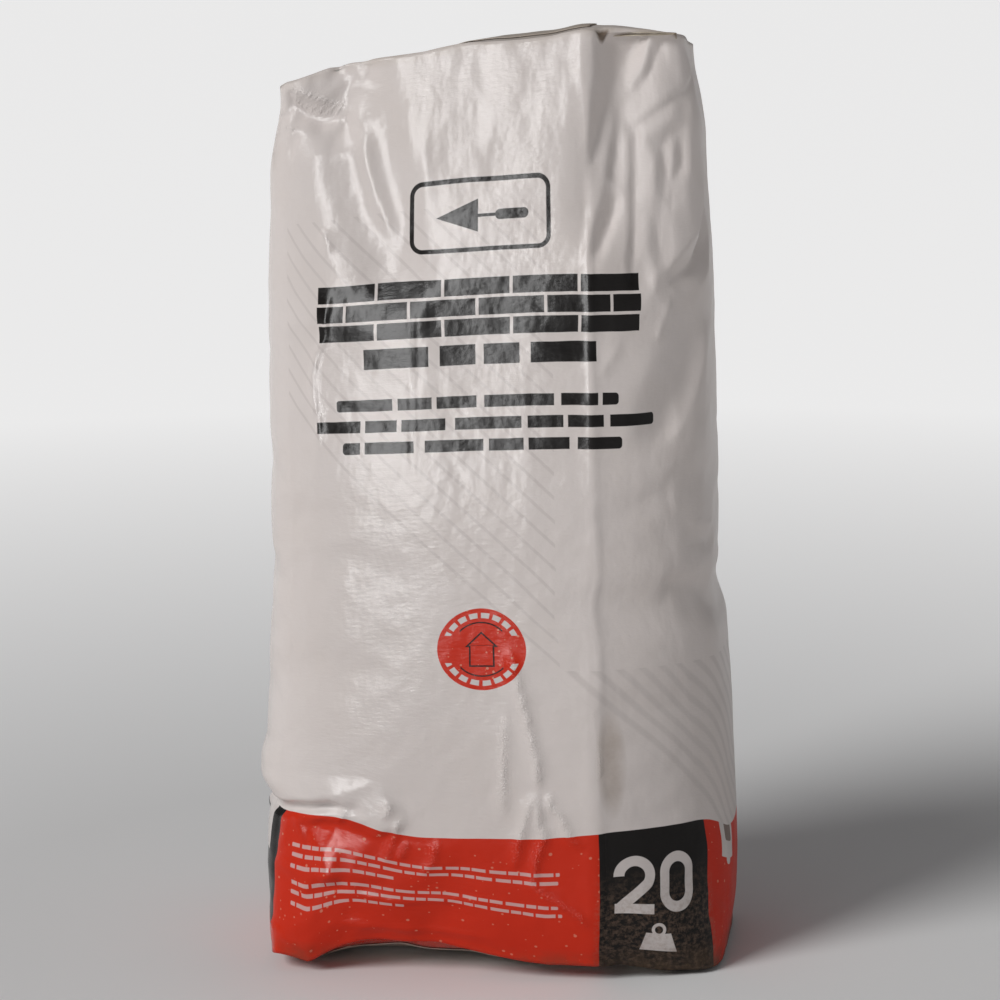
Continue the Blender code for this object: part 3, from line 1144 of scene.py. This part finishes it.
@dataclass(frozen=True)
class PrintLayout:
    """Where the prints lie on the flat film, in metres from the front's middle and the base."""

    row_rise: float = -0.022
    emblem: Place = (0.0025, 0.431)
    wall: Place = (0.001, 0.3825)
    wall_size: tuple[float, float] = (0.184, 0.033)
    course: float = 0.011
    brick: float = 0.0368
    joint: float = 0.0017
    heavy_row: Place = (0.002, 0.3563)
    rows: tuple[Place, ...] = ((-0.0005, 0.3305), (0.0020, 0.3185), (0.0025, 0.3065))
    row_lengths: tuple[float, ...] = (0.0785, 0.1000, 0.0775)
    disc: Place = (0.0005, 0.192)
    disc_radius: float = 0.0232
    band_top: float = 0.083
    block_left: float = 0.058
    block_right: float = 0.124
    number: Place = (0.0885, 0.0520)
    weight: Place = (0.0890, 0.0190)
    notes: tuple[float, ...] = (0.0625, 0.0572, 0.0519, 0.0420, 0.0367, 0.0314)
    notes_middle: float = -0.036
    label: Place = (0.1490, 0.0805)
    left_block: float = -0.149
    stripes: StripeField = field(default_factory=StripeField)

    def wall_ink(self, chart: Chart) -> Socket:
        """A plain brick wall in running bond, three courses high."""
        here = chart.moved(self.wall, self.row_rise)
        half_width, half_height = self.wall_size[0] / 2, self.wall_size[1] / 2
        course = ((here.v + half_height) / self.course).cell()
        shifted = here.u + half_width + (course * 0.5).part() * self.brick
        joint_v = abs(((here.v + half_height) / self.course).part() - 0.5) * self.course
        joint_u = abs((shifted / self.brick).part() - 0.5) * self.brick
        solid = (joint_u - (self.brick - self.joint) / 2).at_least(joint_v - (self.course - self.joint) / 2)
        return inked(solid.at_least(here.box(half_width, half_height)))

    def emblem_ink(self, chart: Chart) -> Socket:
        """A trowel in a plain frame."""
        here = chart.moved(self.emblem, self.row_rise)
        frame_line = line_of(here.box(0.0375, 0.0175, 0.006), 0.0024)
        blade = (abs(here.v) - (here.u + 0.024) * 0.36).at_least(here.u + 0.001)
        tang = here.bar((-0.001, 0.0), (0.009, 0.0), 0.0008)
        handle = here.bar((0.011, 0.0), (0.024, 0.0), 0.0026)
        return inked(frame_line.at_most(blade).at_most(tang).at_most(handle))

    def words_ink(self, chart: Chart) -> Socket:
        """Bars as long as words, in rows, in place of the front's text."""
        total = inked(self._word_row(chart, self.heavy_row, 0.066, 0.0056, 0.031, 0.0))
        for number, (place, length) in enumerate(zip(self.rows, self.row_lengths)):
            total = total + inked(self._word_row(chart, place, length, 0.0033, 0.029, 1.7 * (number + 1)))
        return total.clamped()

    def notes_ink(self, chart: Chart) -> Socket:
        """Fine rows of bars in two blocks, in place of the red band's text."""
        total = inked(self._word_row(chart, (self.notes_middle, self.notes[0]), 0.074, 0.0011, 0.0080, 0.3))
        for number, height in enumerate(self.notes[1:]):
            half_length = (0.073, 0.031, 0.073, 0.074, 0.033)[number]
            place = (self.notes_middle - 0.073 + half_length, height)
            total = total + inked(self._word_row(chart, place, half_length, 0.0011, 0.0080, 2.1 * number))
        return total.clamped()

    def _word_row(
        self, chart: Chart, place: Place, half_length: float, half_height: float, pitch: float, phase: float
    ) -> Socket:
        """A row of bars of uneven lengths.

        Args:
            chart: the film's chart.
            place: the row's middle.
            half_length: half the row's length.
            half_height: half the bars' height.
            pitch: the bars' mean length with its gap.
            phase: where in its cycle the unevenness starts.

        Returns:
            The distance to the bars' outlines.
        """
        here = chart.moved(place, self.row_rise)
        bent = here.u + (here.u * (1.9 / pitch) + phase).wave() * (pitch * 0.22)
        gap = pitch / 2 - half_height * 0.55 - abs((bent / pitch + phase).part() - 0.5) * pitch
        return here.box(half_length, half_height, half_height * 0.6).at_least(-gap)


@dataclass(frozen=True)
class SackFilm:
    """The laminated woven film of the tube, with its prints, creases and dirt, and painted shade in two of
    its dark patches.
    """

    palette: Palette = field(default_factory=Palette)
    layout: PrintLayout = field(default_factory=PrintLayout)
    relief: float = 0.00030
    roughness: float = 0.22
    scuffing: float = 0.20

    def material(self) -> bpy.types.Material:
        """Builds the finish."""
        bench = MaterialBench("sack_film")
        flat = bench.socket(bench.node("ShaderNodeUVMap", {"uv_map": "film"}))
        u, v, _ = bench.parts(flat)
        chart = Chart(bench, u, v)
        cloudy = bench.noise(flat, 14.0, 4.0, 0.6)
        colours = self.palette
        colour = bench.mixed((cloudy - 0.42) * 1.2, colours.white, colours.cloud)
        scuffed = ((u - 0.060) * 200.0).clamped() * (1 - ((u - 0.30) * 20.0).clamped())
        colour = bench.mixed(self.layout.stripes.ink(chart), colour, colours.grey_stripe)
        marks = self.layout.wall_ink(chart) + self.layout.emblem_ink(chart) + self.layout.words_ink(chart)
        colour = bench.mixed(marks.clamped(), colour, colours.black)
        colour = self._base_band(bench, chart, flat, colour)
        colour = self._house_disc(bench, chart, flat, colour)
        colour = self._soiled_and_shaded(bench, flat, u, v, colour)
        crinkled = bench.socket(bench.node("ShaderNodeAttribute", {"attribute_name": "crinkled"}), "Fac")
        fine = bench.noise(flat, 1100.0, 2.0, 0.6)
        crackle = bench.noise(bench.vector(u * 0.35, v), 520.0, 3.0, 0.6)
        ripple = bench.noise(bench.vector(u, v * 0.6), 90.0, 2.0, 0.5)
        height = crackle * 0.45 + ripple * 1.6 + fine * crinkled * 3.0
        roughness = self.roughness + scuffed * self.scuffing
        roughness = roughness + (bench.noise(flat, 60.0, 3.0) - 0.5) * 0.12 - crinkled * 0.06
        shader = {"Base Color": colour, "Roughness": roughness, "IOR": 1.5, "Specular IOR Level": 0.17}
        return bench.finish(shader, height, self.relief)

    def _base_band(self, bench: MaterialBench, chart: Chart, flat: Socket, under: Socket) -> Socket:
        """Lays the red band and its black block over a colour."""
        layout, colours = self.layout, self.palette
        below = inked(chart.v - layout.band_top)
        red = bench.mixed(bench.specks(flat, 240.0, 0.22) * 0.55, colours.red, colours.red_fleck)
        middle = (layout.block_left + layout.block_right) / 2
        half = (layout.block_right - layout.block_left) / 2
        block = inked(abs(chart.u - middle) - half)
        strip = abs(chart.u - layout.left_block) - 0.023
        left_block = inked(strip.at_least(0.030 - chart.v - (chart.u - layout.left_block) * 0.6))
        ink = bench.mixed((block + left_block).clamped(), red, colours.black)
        white = inked(self._number(chart)) + inked(self._weight(chart)) + layout.notes_ink(chart) * 0.6
        white = white + inked(chart.moved((layout.left_block + 0.003, 0.072)).box(0.0085, 0.0160))
        ink = bench.mixed(white.clamped(), ink, colours.print_white)
        ink = self._side_label(bench, chart, ink)
        return bench.mixed(below, under, ink)

    def _side_label(self, bench: MaterialBench, chart: Chart, under: Socket) -> Socket:
        """Lays the plain white label of the right side, with its stripes, over a colour."""
        here = chart.moved(self.layout.label)
        paper = here.box(0.0115, 0.0180).at_most(here.moved((0.0, -0.014)).box(0.0040, 0.0080, 0.003))
        stripes = inked(abs((here.u * 330.0).part() - 0.5) * 0.003 - 0.0006) * inked(0.0075 - here.v)
        colour = bench.mixed(stripes, self.palette.print_white, self.palette.black)
        patch = inked(here.moved((0.001, -0.002)).box(0.0065, 0.0055, 0.002))
        colour = bench.mixed(patch * 0.8, colour, self.palette.label_patch)
        return bench.mixed(inked(paper), under, colour)

    def _soiled_and_shaded(self, bench: MaterialBench, flat: Socket, u: Socket, v: Socket, under: Socket) -> Socket:
        """Lays cement dust on the top, dirt along the base, a brown patch right of the crease that is
        partly a stain and partly painted shade of the hollow there, and a dark spot at the valve's mouth
        that is partly a stain and partly painted shade of the opening, over a colour.
        """
        place = bench.socket(bench.node("ShaderNodeTexCoord"), "Object")
        height = bench.parts(place)[2]
        patchy = bench.noise(flat, 45.0, 5.0, 0.65)
        fine = bench.noise(flat, 320.0, 4.0, 0.7)
        top = ((v - FILM_HEIGHT + 0.006) * 110.0).clamped() * ((patchy - 0.30) * 3.0).clamped()
        colour = bench.mixed(top * 0.62, under, self.palette.dust)
        block_dust = ((0.062 - v) * 40.0).clamped() * (1 - (abs(u - 0.092) - 0.034) * 300.0).clamped()
        block_dust = block_dust * ((fine - 0.44) * 5.0).clamped()
        colour = bench.mixed(block_dust * 0.34, colour, self.palette.block_dust)
        low = ((0.020 - height) * 60.0).clamped() * ((patchy - 0.38) * 5.0).clamped()
        colour = bench.mixed(low * 0.75, colour, self.palette.dirt)
        # A brown patch right of the crease, low on the front: partly a stain, partly painted shade of the
        # hollow there.
        brown_u, brown_v = (u - 0.0660) * 115.0, (v - 0.1240) * 29.0
        stain_and_shade_mask = (1 - (brown_u * brown_u + brown_v * brown_v)).clamped() * (patchy * 1.6)
        colour = bench.mixed(stain_and_shade_mask.clamped() * 0.55, colour, self.palette.brown_stain_and_shade)
        # A dark spot at the valve's mouth: partly a stain, partly painted shade of the opening.
        mouth_u, mouth_v = (u - 0.0745) * 1.5, v - FILM_HEIGHT
        mouth_stain_and_shade_mask = (1 - (mouth_u * mouth_u + mouth_v * mouth_v) ** 0.5 * 150.0).clamped()
        return bench.mixed((mouth_stain_and_shade_mask * 2.2).clamped() * 0.85, colour, self.palette.valve_stain_and_shade)

    def _number(self, chart: Chart) -> Socket:
        """The plain number 20."""
        here = chart.moved(self.layout.number)
        bowl, half_stroke, rise = 0.0082, 0.0028, 0.0052
        nought = here.moved((0.0125, 0.0))
        tall = (abs(nought.v) - rise).at_least(0.0)
        ring = line_of((nought.u * nought.u + tall * tall) ** 0.5 - bowl, 2 * half_stroke)
        two = here.moved((-0.0125, 0.0))
        hook = line_of(two.moved((0.0, rise)).disc(bowl), 2 * half_stroke)
        hook = hook.at_least(rise - two.v - two.u.at_least(0.0) * 0.75)
        slope = two.bar((0.0064, 0.0002), (-0.0070, -0.0122), half_stroke)
        foot = two.moved((0.0, -0.0134)).box(0.0104, half_stroke)
        return ring.at_most(hook).at_most(slope).at_most(foot)

    def _weight(self, chart: Chart) -> Socket:
        """A plain cast weight with its ring."""
        here = chart.moved(self.layout.weight)
        body = (abs(here.u) + here.v * 0.3 - 0.0085).at_least(abs(here.v) - 0.0058)
        ring = line_of(here.moved((0.0, 0.0080)).disc(0.0031), 0.0017)
        return body.at_most(ring)

    def _house_disc(self, bench: MaterialBench, chart: Chart, flat: Socket, under: Socket) -> Socket:
        """Lays the red disc with its plain house over a colour."""
        layout, colours = self.layout, self.palette
        here = chart.moved(layout.disc, layout.row_rise)
        worn = bench.specks(flat, 300.0, 0.24)
        red = bench.mixed(worn * 0.6, colours.red, colours.disc_fleck)
        walls = here.moved((0.0, -0.0035)).box(0.0062, 0.0060)
        roof = (abs(here.u) * 0.707 + (here.v - 0.0095) * 0.707).at_least(0.0018 - here.v)
        arcs = line_of(here.disc(0.0152), 0.0008).at_least(abs(here.u) - 0.0112)
        drawn = line_of(walls.at_most(roof), 0.0009).at_most(arcs)
        turn = bench.maths("ARCTAN2", here.v, here.u)
        dashes = abs((turn * 3.1).part() - 0.5) * 0.006 - 0.0021
        ring = line_of(here.disc(0.0192), 0.0030).at_least(dashes).at_least(0.0078 - abs(here.v))
        ink = bench.mixed(inked(drawn), red, colours.black)
        ink = bench.mixed(inked(ring), ink, colours.print_white)
        return bench.mixed(inked(here.disc(layout.disc_radius)), under, ink)


@dataclass(frozen=True)
class PlainFinish:
    """A finish of two colours that shade into each other, with a fine grain."""

    name: str
    light: Colour
    dark: Colour
    roughness: float
    cloud_scale: float = 30.0
    grain_scale: float = 900.0
    grain_depth: float = 0.00008

    def material(self) -> bpy.types.Material:
        """Builds the finish."""
        bench = MaterialBench(self.name)
        place = bench.socket(bench.node("ShaderNodeTexCoord"), "Object")
        cloudy = bench.noise(place, self.cloud_scale, 4.0, 0.6)
        colour = bench.mixed(((cloudy - 0.3) * 2.5).clamped(), self.dark, self.light)
        grain = bench.noise(place, self.grain_scale, 3.0, 0.6)
        roughness = self.roughness + (cloudy - 0.5) * 0.15
        shader = {"Base Color": colour, "Roughness": roughness}
        return bench.finish(shader, grain, self.grain_depth)


PATCH_FILM = PlainFinish("patch_film", (0.52, 0.455, 0.395), (0.38, 0.315, 0.25), 0.45)
SLEEVE_FILM = PlainFinish("sleeve_film", (0.62, 0.56, 0.45), (0.22, 0.15, 0.09), 0.5, 90.0)
CEMENT_POWDER = PlainFinish("cement_powder", (0.36, 0.35, 0.33), (0.24, 0.23, 0.215), 0.95)


@dataclass(frozen=True)
class FloorPaper:
    """White paper with painted light: it glows more brightly away from the sack."""

    colour: Colour = (0.80, 0.795, 0.79)
    glow: float = 0.42
    glow_from: float = 0.35
    glow_over: float = 1.3

    def material(self) -> bpy.types.Material:
        """Builds the finish."""
        bench = MaterialBench("floor_paper")
        x, y, _ = bench.parts(bench.socket(bench.node("ShaderNodeTexCoord"), "Object"))
        away = ((x * x + y * y) ** 0.5 - self.glow_from) / self.glow_over
        lit = bench.mixed(away.clamped(), (0.0, 0.0, 0.0), (self.glow, self.glow, self.glow))
        paper = {"Base Color": (*self.colour, 1.0), "Roughness": 0.85}
        return bench.finish({**paper, "Emission Color": lit, "Emission Strength": 1.0})


@dataclass(frozen=True)
class Studio:
    """The pale floor, the soft lights and the camera."""

    azimuth: float = 8.0
    elevation: float = 12.0
    distance: float = 2.2
    roll: float = -0.7
    lens: float = 142.6
    target: tuple[float, float, float] = (0.0015, 0.0, 0.2567)
    floor_radius: float = 14.0

    def build(self) -> None:
        """Adds the floor, the world, the lights and the camera."""
        self._floor()
        self._world()
        self._sun("daylight", -44.0, 34.0, 25.0, 2.05)
        self._light("right_fill", 95.0, 15.0, 2.0, (0.7, 0.9), 1.4)
        glint = self._light("window", -16.0, 11.0, 1.3, (0.30, 0.9), 17.0)
        glint.visible_diffuse = False
        self._camera()
        bpy.context.scene.view_settings.view_transform = "Standard"

    def direction(self, azimuth: float, elevation: float) -> Vector:
        """The direction from the sack towards an azimuth and elevation, in degrees."""
        turn, rise = math.radians(azimuth), math.radians(elevation)
        return Vector((math.sin(turn) * math.cos(rise), -math.cos(turn) * math.cos(rise), math.sin(rise)))

    def _floor(self) -> None:
        """Adds the floor as a wide disc."""
        mesh = bpy.data.meshes.new("floor")
        shape = bmesh.new()
        bmesh.ops.create_circle(shape, cap_ends=True, segments=96, radius=self.floor_radius)
        shape.to_mesh(mesh)
        shape.free()
        floor = bpy.data.objects.new("floor", mesh)
        bpy.context.scene.collection.objects.link(floor)
        mesh.materials.append(FloorPaper().material())

    def _world(self) -> None:
        """Gives the room its soft light."""
        world = bpy.data.worlds.new("room")
        world.use_nodes = True
        background = world.node_tree.nodes["Background"]
        background.inputs[0].default_value = (0.93, 0.93, 0.95, 1.0)
        background.inputs[1].default_value = 0.16
        bpy.context.scene.world = world

    def _sun(self, name: str, azimuth: float, elevation: float, spread: float, strength: float) -> None:
        """Adds daylight from one direction, which lights the whole floor evenly.

        Args:
            name: the light's name.
            azimuth: where it comes from round the sack, in degrees.
            elevation: how high it comes from, in degrees.
            spread: how wide the bright part of the sky is, in degrees.
            strength: its strength, in watts a square metre.
        """
        lamp = bpy.data.lights.new(name, "SUN")
        lamp.angle = math.radians(spread)
        lamp.energy = strength
        made = bpy.data.objects.new(name, lamp)
        made.rotation_euler = self.direction(azimuth, elevation).to_track_quat("Z", "Y").to_euler()
        bpy.context.scene.collection.objects.link(made)

    def _light(
        self, name: str, azimuth: float, elevation: float, away: float, size: Place, power: float
    ) -> bpy.types.Object:
        """Adds a soft rectangular light that faces the sack.

        Args:
            name: the light's name.
            azimuth: where it stands round the sack, in degrees.
            elevation: how high it stands, in degrees.
            away: its distance.
            size: its width and height.
            power: its power in watts.

        Returns:
            The light.
        """
        lamp = bpy.data.lights.new(name, "AREA")
        lamp.shape = "RECTANGLE"
        lamp.size, lamp.size_y = size
        lamp.energy = power
        made = bpy.data.objects.new(name, lamp)
        back = self.direction(azimuth, elevation)
        made.location = Vector(self.target) + back * away
        made.rotation_euler = back.to_track_quat("Z", "Y").to_euler()
        bpy.context.scene.collection.objects.link(made)
        return made

    def _camera(self) -> None:
        """Adds the camera at the photograph's angle."""
        back = self.direction(self.azimuth, self.elevation)
        right = Vector((math.cos(math.radians(self.azimuth)), math.sin(math.radians(self.azimuth)), 0.0))
        up = back.cross(right)
        turn = math.radians(self.roll)
        rolled_right = right * math.cos(turn) + up * math.sin(turn)
        rolled_up = up * math.cos(turn) - right * math.sin(turn)
        data = bpy.data.cameras.new("camera")
        data.lens = self.lens
        data.sensor_width = 36.0
        camera = bpy.data.objects.new("camera", data)
        axes = Matrix((rolled_right, rolled_up, back)).transposed().to_4x4()
        camera.matrix_world = Matrix.Translation(Vector(self.target) + back * self.distance) @ axes
        bpy.context.scene.collection.objects.link(camera)
        bpy.context.scene.camera = camera


@dataclass
class SackBody:
    """The filled film tube."""

    cells: tuple[int, int, int] = (56, 26, 120)
    form: SackForm = field(default_factory=SackForm)
    filling: Filling = field(default_factory=Filling)
    wrinkle_gain: float = 0.55
    middle_share: float = 0.75
    top_calm: float = 0.60
    large_form_steps: int = 60
    creases: tuple[Crease, ...] = (
        LAY_CREASES + TUCK_CREASES + UPPER_RIGHT_CREASES + LEVEL_CREASES + STREAKS
    )
    fold_nets: tuple[FoldNet, ...] = (TUCK_FOLDS, UPPER_RIGHT_FOLDS, OVERHANG_FOLDS)
    crinkled_lines: tuple[Crease, ...] = CRINKLED_LINES + STREAKS
    points: Array | None = None
    lattice: FilmLattice | None = None

    def shape(self) -> None:
        """Works out the film's points: the form, the simulated wrinkles and the creases."""
        coarse = FilmLattice(self.cells)
        fine = coarse.finer()
        points = self.form.block(fine.cube)
        points = points + self._wrinkles(coarse, fine)
        points = self.form.settled(points, fine.cube)
        normals = fine.normals(fine.blurred(points, 4))
        flat = fine.flat()
        folded = sum((net.raised(flat) for net in self.fold_nets), np.zeros(len(points)))
        lift = folded + sum((crease.raised(flat) for crease in self.creases), np.zeros(len(points)))
        points += normals * lift[:, None]
        self.points = self._stood(fine, points)
        self.lattice = fine

    def _wrinkles(self, coarse: FilmLattice, fine: FilmLattice) -> Array:
        """The simulation's wrinkles, without its large form.

        Args:
            coarse: the simulated lattice.
            fine: the lattice of the finished film.

        Returns:
            What each fine vertex moves by.
        """
        change = self.filling.swollen(coarse) - self.form.block(coarse.cube)
        wrinkles = change - coarse.blurred(change, self.large_form_steps)
        ends = np.abs(fine.cube[:, 2:])
        gain = self.middle_share + (1 - self.middle_share) * ramp(ends, 0.55, 0.4)
        gain = self.wrinkle_gain * gain
        gain = gain * (1 - self.top_calm * ramp(fine.cube[:, 2:], 0.45, 0.25))
        return gain * fine.blurred(coarse.carried_to(fine, wrinkles), 2)

    def _stood(self, lattice: FilmLattice, points: Array) -> Array:
        """The points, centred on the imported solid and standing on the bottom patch."""
        low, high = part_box("sack_body")
        middle = (points.min(axis=0) + points.max(axis=0)) / 2
        points[:, 0] += (low.x + high.x) / 2 - middle[0]
        points[:, 1] += (low.y + high.y) / 2 - middle[1]
        under = lattice.cube[:, 2] == -1
        points[:, 2] += FLOOR_GAP - np.percentile(points[under, 2], 30)
        points[:, 2] = np.maximum(points[:, 2], FLOOR_GAP)
        return points

    def mouth(self) -> Vector:
        """The middle of the valve's opening, at the front's top edge."""
        low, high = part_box("valve_sleeve")
        keys = self.lattice.keys
        on_edge = (keys[:, 2] == keys[:, 2].max()) & (keys[:, 1] == 0)
        spread = np.abs(self.points[:, 0] - high.x * 0.6 - low.x * 0.4)
        edge = self.points[on_edge & (spread < 0.012)].mean(axis=0)
        return Vector(((low.x + high.x) / 2, edge[1] - 0.0010, edge[2] - 0.0004))

    def build(self) -> bpy.types.Object:
        """Makes the film piece from its points.

        Returns:
            The piece.
        """
        film = mesh_object("woven_film", self.points, self.lattice.faces)
        layer = film.data.uv_layers.new(name="film")
        places = PrintPull().pulled(self.lattice.face_corners_flat())
        layer.data.foreach_set("uv", places.ravel().astype(np.float32))
        crinkled = film.data.attributes.new("crinkled", "FLOAT", "POINT")
        shares = crinkled_share(self.crinkled_lines, self.lattice.flat())
        crinkled.data.foreach_set("value", shares.astype(np.float32))
        film.data.materials.append(SackFilm().material())
        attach(film, "root")
        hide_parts("sack_body")
        return film


def joined_piece(piece: bpy.types.Object, node: str) -> bpy.types.Object:
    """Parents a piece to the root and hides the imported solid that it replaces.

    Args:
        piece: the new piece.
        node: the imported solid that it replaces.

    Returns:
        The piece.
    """
    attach(piece, "root")
    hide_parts(node)
    return piece


def settled_mesh(piece: bpy.types.Object) -> None:
    """Turns a piece's modifiers into plain mesh."""
    evaluated = piece.evaluated_get(bpy.context.evaluated_depsgraph_get())
    made = bpy.data.meshes.new_from_object(evaluated)
    piece.modifiers.clear()
    old = piece.data
    piece.data = made
    made.name = old.name
    bpy.data.meshes.remove(old)


@dataclass(frozen=True)
class PackedCement:
    """The cement inside the film, as one lump a little smaller than the sack."""

    inset: float = 0.0022

    def build(self, sack: SackBody) -> bpy.types.Object:
        """Makes the lump from every second vertex of the film.

        Args:
            sack: the shaped film.

        Returns:
            The piece.
        """
        coarse = FilmLattice(sack.cells)
        here = sack.lattice.index[tuple((coarse.keys * 2).T)]
        inward = sack.lattice.normals(sack.lattice.blurred(sack.points, 6))[here]
        piece = mesh_object("packed_cement", sack.points[here] - inward * self.inset, coarse.faces)
        piece.data.materials.append(CEMENT_POWDER.material())
        return joined_piece(piece, "cement_fill")


@dataclass(frozen=True)
class CoverPatch:
    """A strip of film welded over the folds of one of the block ends."""

    name: str
    side: Side
    node: str
    clearance: float = 0.00035
    thickness: float = 0.0004

    def build(self, sack: SackBody) -> bpy.types.Object:
        """Lifts a copy of the end's cells off the film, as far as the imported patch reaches.

        Args:
            sack: the shaped film.

        Returns:
            The piece.
        """
        low, high = (np.array(corner)[:2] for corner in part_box(self.node))
        cells = sack.lattice.side_faces[self.side]
        middles = sack.points[cells].mean(axis=1)[:, :2]
        inside = ((middles > low) & (middles < high)).all(axis=1)
        used, faces = np.unique(cells[inside], return_inverse=True)
        lifted = sack.points[used] + sack.lattice.normals(sack.points)[used] * self.clearance
        piece = mesh_object(self.name, lifted, faces.reshape(-1, 4))
        wall = piece.modifiers.new("film", "SOLIDIFY")
        wall.thickness = self.thickness
        wall.offset = 1.0
        settled_mesh(piece)
        piece.data.materials.append(PATCH_FILM.material())
        return joined_piece(piece, self.node)


@dataclass(frozen=True)
class ValveSleeve:
    """The flattened film sleeve that the sack is filled through, open at its mouth."""

    gape: float = 0.0018
    flat: float = 0.0010
    lip: float = 0.0016
    droop: float = 0.0010
    open_length: float = 0.012
    under_film: float = 0.0011
    wall: float = 0.0004
    rings: int = 32
    sides: int = 56

    def build(self, film: bpy.types.Object, mouth: Vector) -> bpy.types.Object:
        """Sweeps the sleeve's section along its length with Geometry Nodes.

        Args:
            film: the sack's film, which the sleeve lies under.
            mouth: the middle of the opening.

        Returns:
            The piece.
        """
        low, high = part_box("valve_sleeve")
        piece = mesh_object("filling_sleeve", np.zeros((0, 3)), np.zeros((0, 4), int))
        swept = piece.modifiers.new("sweep", "NODES")
        swept.node_group = self._tree()
        values = {
            "Width": high.x - low.x,
            "Gape": self.gape,
            "Flat": self.flat,
            "Length": high.y - mouth.y,
            "Mouth": mouth,
            "Over": film,
            "Film": SLEEVE_FILM.material(),
        }
        for item in swept.node_group.interface.items_tree:
            if item.in_out == "INPUT":
                swept[item.identifier] = values[item.name]
        wall = piece.modifiers.new("film", "SOLIDIFY")
        wall.thickness = self.wall
        wall.offset = 0.0
        settled_mesh(piece)
        return joined_piece(piece, "valve_sleeve")

    def _tree(self) -> bpy.types.GeometryNodeTree:
        """The node tree: a round section, swept, flattened away from the mouth and laid under the film."""
        tree = bpy.data.node_groups.new("sleeve_sweep", "GeometryNodeTree")
        tree.interface.new_socket("Geometry", in_out="OUTPUT", socket_type="NodeSocketGeometry")
        for name in ("Width", "Gape", "Flat", "Length"):
            tree.interface.new_socket(name, in_out="INPUT", socket_type="NodeSocketFloat")
        tree.interface.new_socket("Mouth", in_out="INPUT", socket_type="NodeSocketVector")
        tree.interface.new_socket("Over", in_out="INPUT", socket_type="NodeSocketObject")
        tree.interface.new_socket("Film", in_out="INPUT", socket_type="NodeSocketMaterial")
        bench = NodeBench(tree)
        given = bench.node("NodeGroupInput")
        width, gape, flat, length, mouth, over, film = (bench.socket(given, key) for key in range(7))
        end = bench.vector(0.0, length)
        line = bench.added("GeometryNodeCurvePrimitiveLine", None, {"Start": (0.0, 0.0, 0.0), "End": end})
        line = bench.added("GeometryNodeResampleCurve", None, {"Curve": line, "Count": self.rings})
        section = bench.added(
            "GeometryNodeCurvePrimitiveCircle", None, {"Resolution": self.sides, "Radius": 1.0}
        )
        tube = bench.added("GeometryNodeCurveToMesh", None, {"Curve": line, "Profile Curve": section})
        a, y, c = bench.parts(bench.added("GeometryNodeInputPosition"))
        mouth_x, mouth_y, mouth_z = bench.parts(mouth)
        near = (1 - y / self.open_length).at_least(0.0)
        near = near * near
        left = (0.5 - a * 0.5) ** 2.0
        half = flat * 0.5 + near * left * (gape - flat) * 0.5
        below = (-c).at_least(0.0)
        drooping = (1 - y / self.lip).at_least(0.0) * below * left
        x = mouth_x + a * width * 0.5
        beyond = mouth_y + y - drooping * (self.lip * 0.4)
        target = bench.socket(bench.node("GeometryNodeObjectInfo", None, {0: over}), "Geometry")
        probe = bench.node(
            "GeometryNodeRaycast",
            None,
            {
                "Target Geometry": target,
                "Source Position": bench.vector(x, beyond, mouth_z + 0.05),
                "Ray Direction": (0.0, 0.0, -1.0),
                "Ray Length": 0.1,
            },
        )
        hit = bench.socket(probe, "Is Hit")
        film_z = bench.parts(bench.socket(probe, "Hit Position"))[2] - self.under_film
        inside = ((y / self.open_length - 0.4) * 1.7).clamped() * hit
        spine = mouth_z + (film_z - mouth_z) * inside
        placed = bench.vector(x, beyond, spine + c * half - drooping * self.droop)
        tube = bench.added("GeometryNodeSetPosition", None, {"Geometry": tube, "Position": placed})
        tube = bench.added("GeometryNodeSetShadeSmooth", None, {"Geometry": tube})
        tube = bench.added("GeometryNodeRealizeInstances", None, {"Geometry": tube})
        tube = bench.added("GeometryNodeSetMaterial", None, {"Geometry": tube, "Material": film})
        bench.node("NodeGroupOutput", None, {0: tube})
        return tree


def report(piece: bpy.types.Object) -> None:
    """Logs a finished piece's name and size."""
    low, high = np.array(piece.bound_box).min(axis=0), np.array(piece.bound_box).max(axis=0)
    size = " x ".join(f"{value * 1000:.1f}" for value in high - low)
    LOG.info("%s: %s mm, %d faces", piece.name, size, len(piece.data.polygons))


def main() -> None:
    """Builds the sack's pieces in order, then the studio."""
    logging.basicConfig(level=logging.INFO, format="%(message)s")
    sack = SackBody()
    sack.shape()
    film = sack.build()
    report(film)
    report(PackedCement().build(sack))
    report(CoverPatch("top_patch", Side.TOP, "top_cover_patch").build(sack))
    report(CoverPatch("base_patch", Side.BOTTOM, "bottom_cover_patch").build(sack))
    report(ValveSleeve().build(film, sack.mouth()))
    Studio().build()


if __name__ == "__main__":
    main()
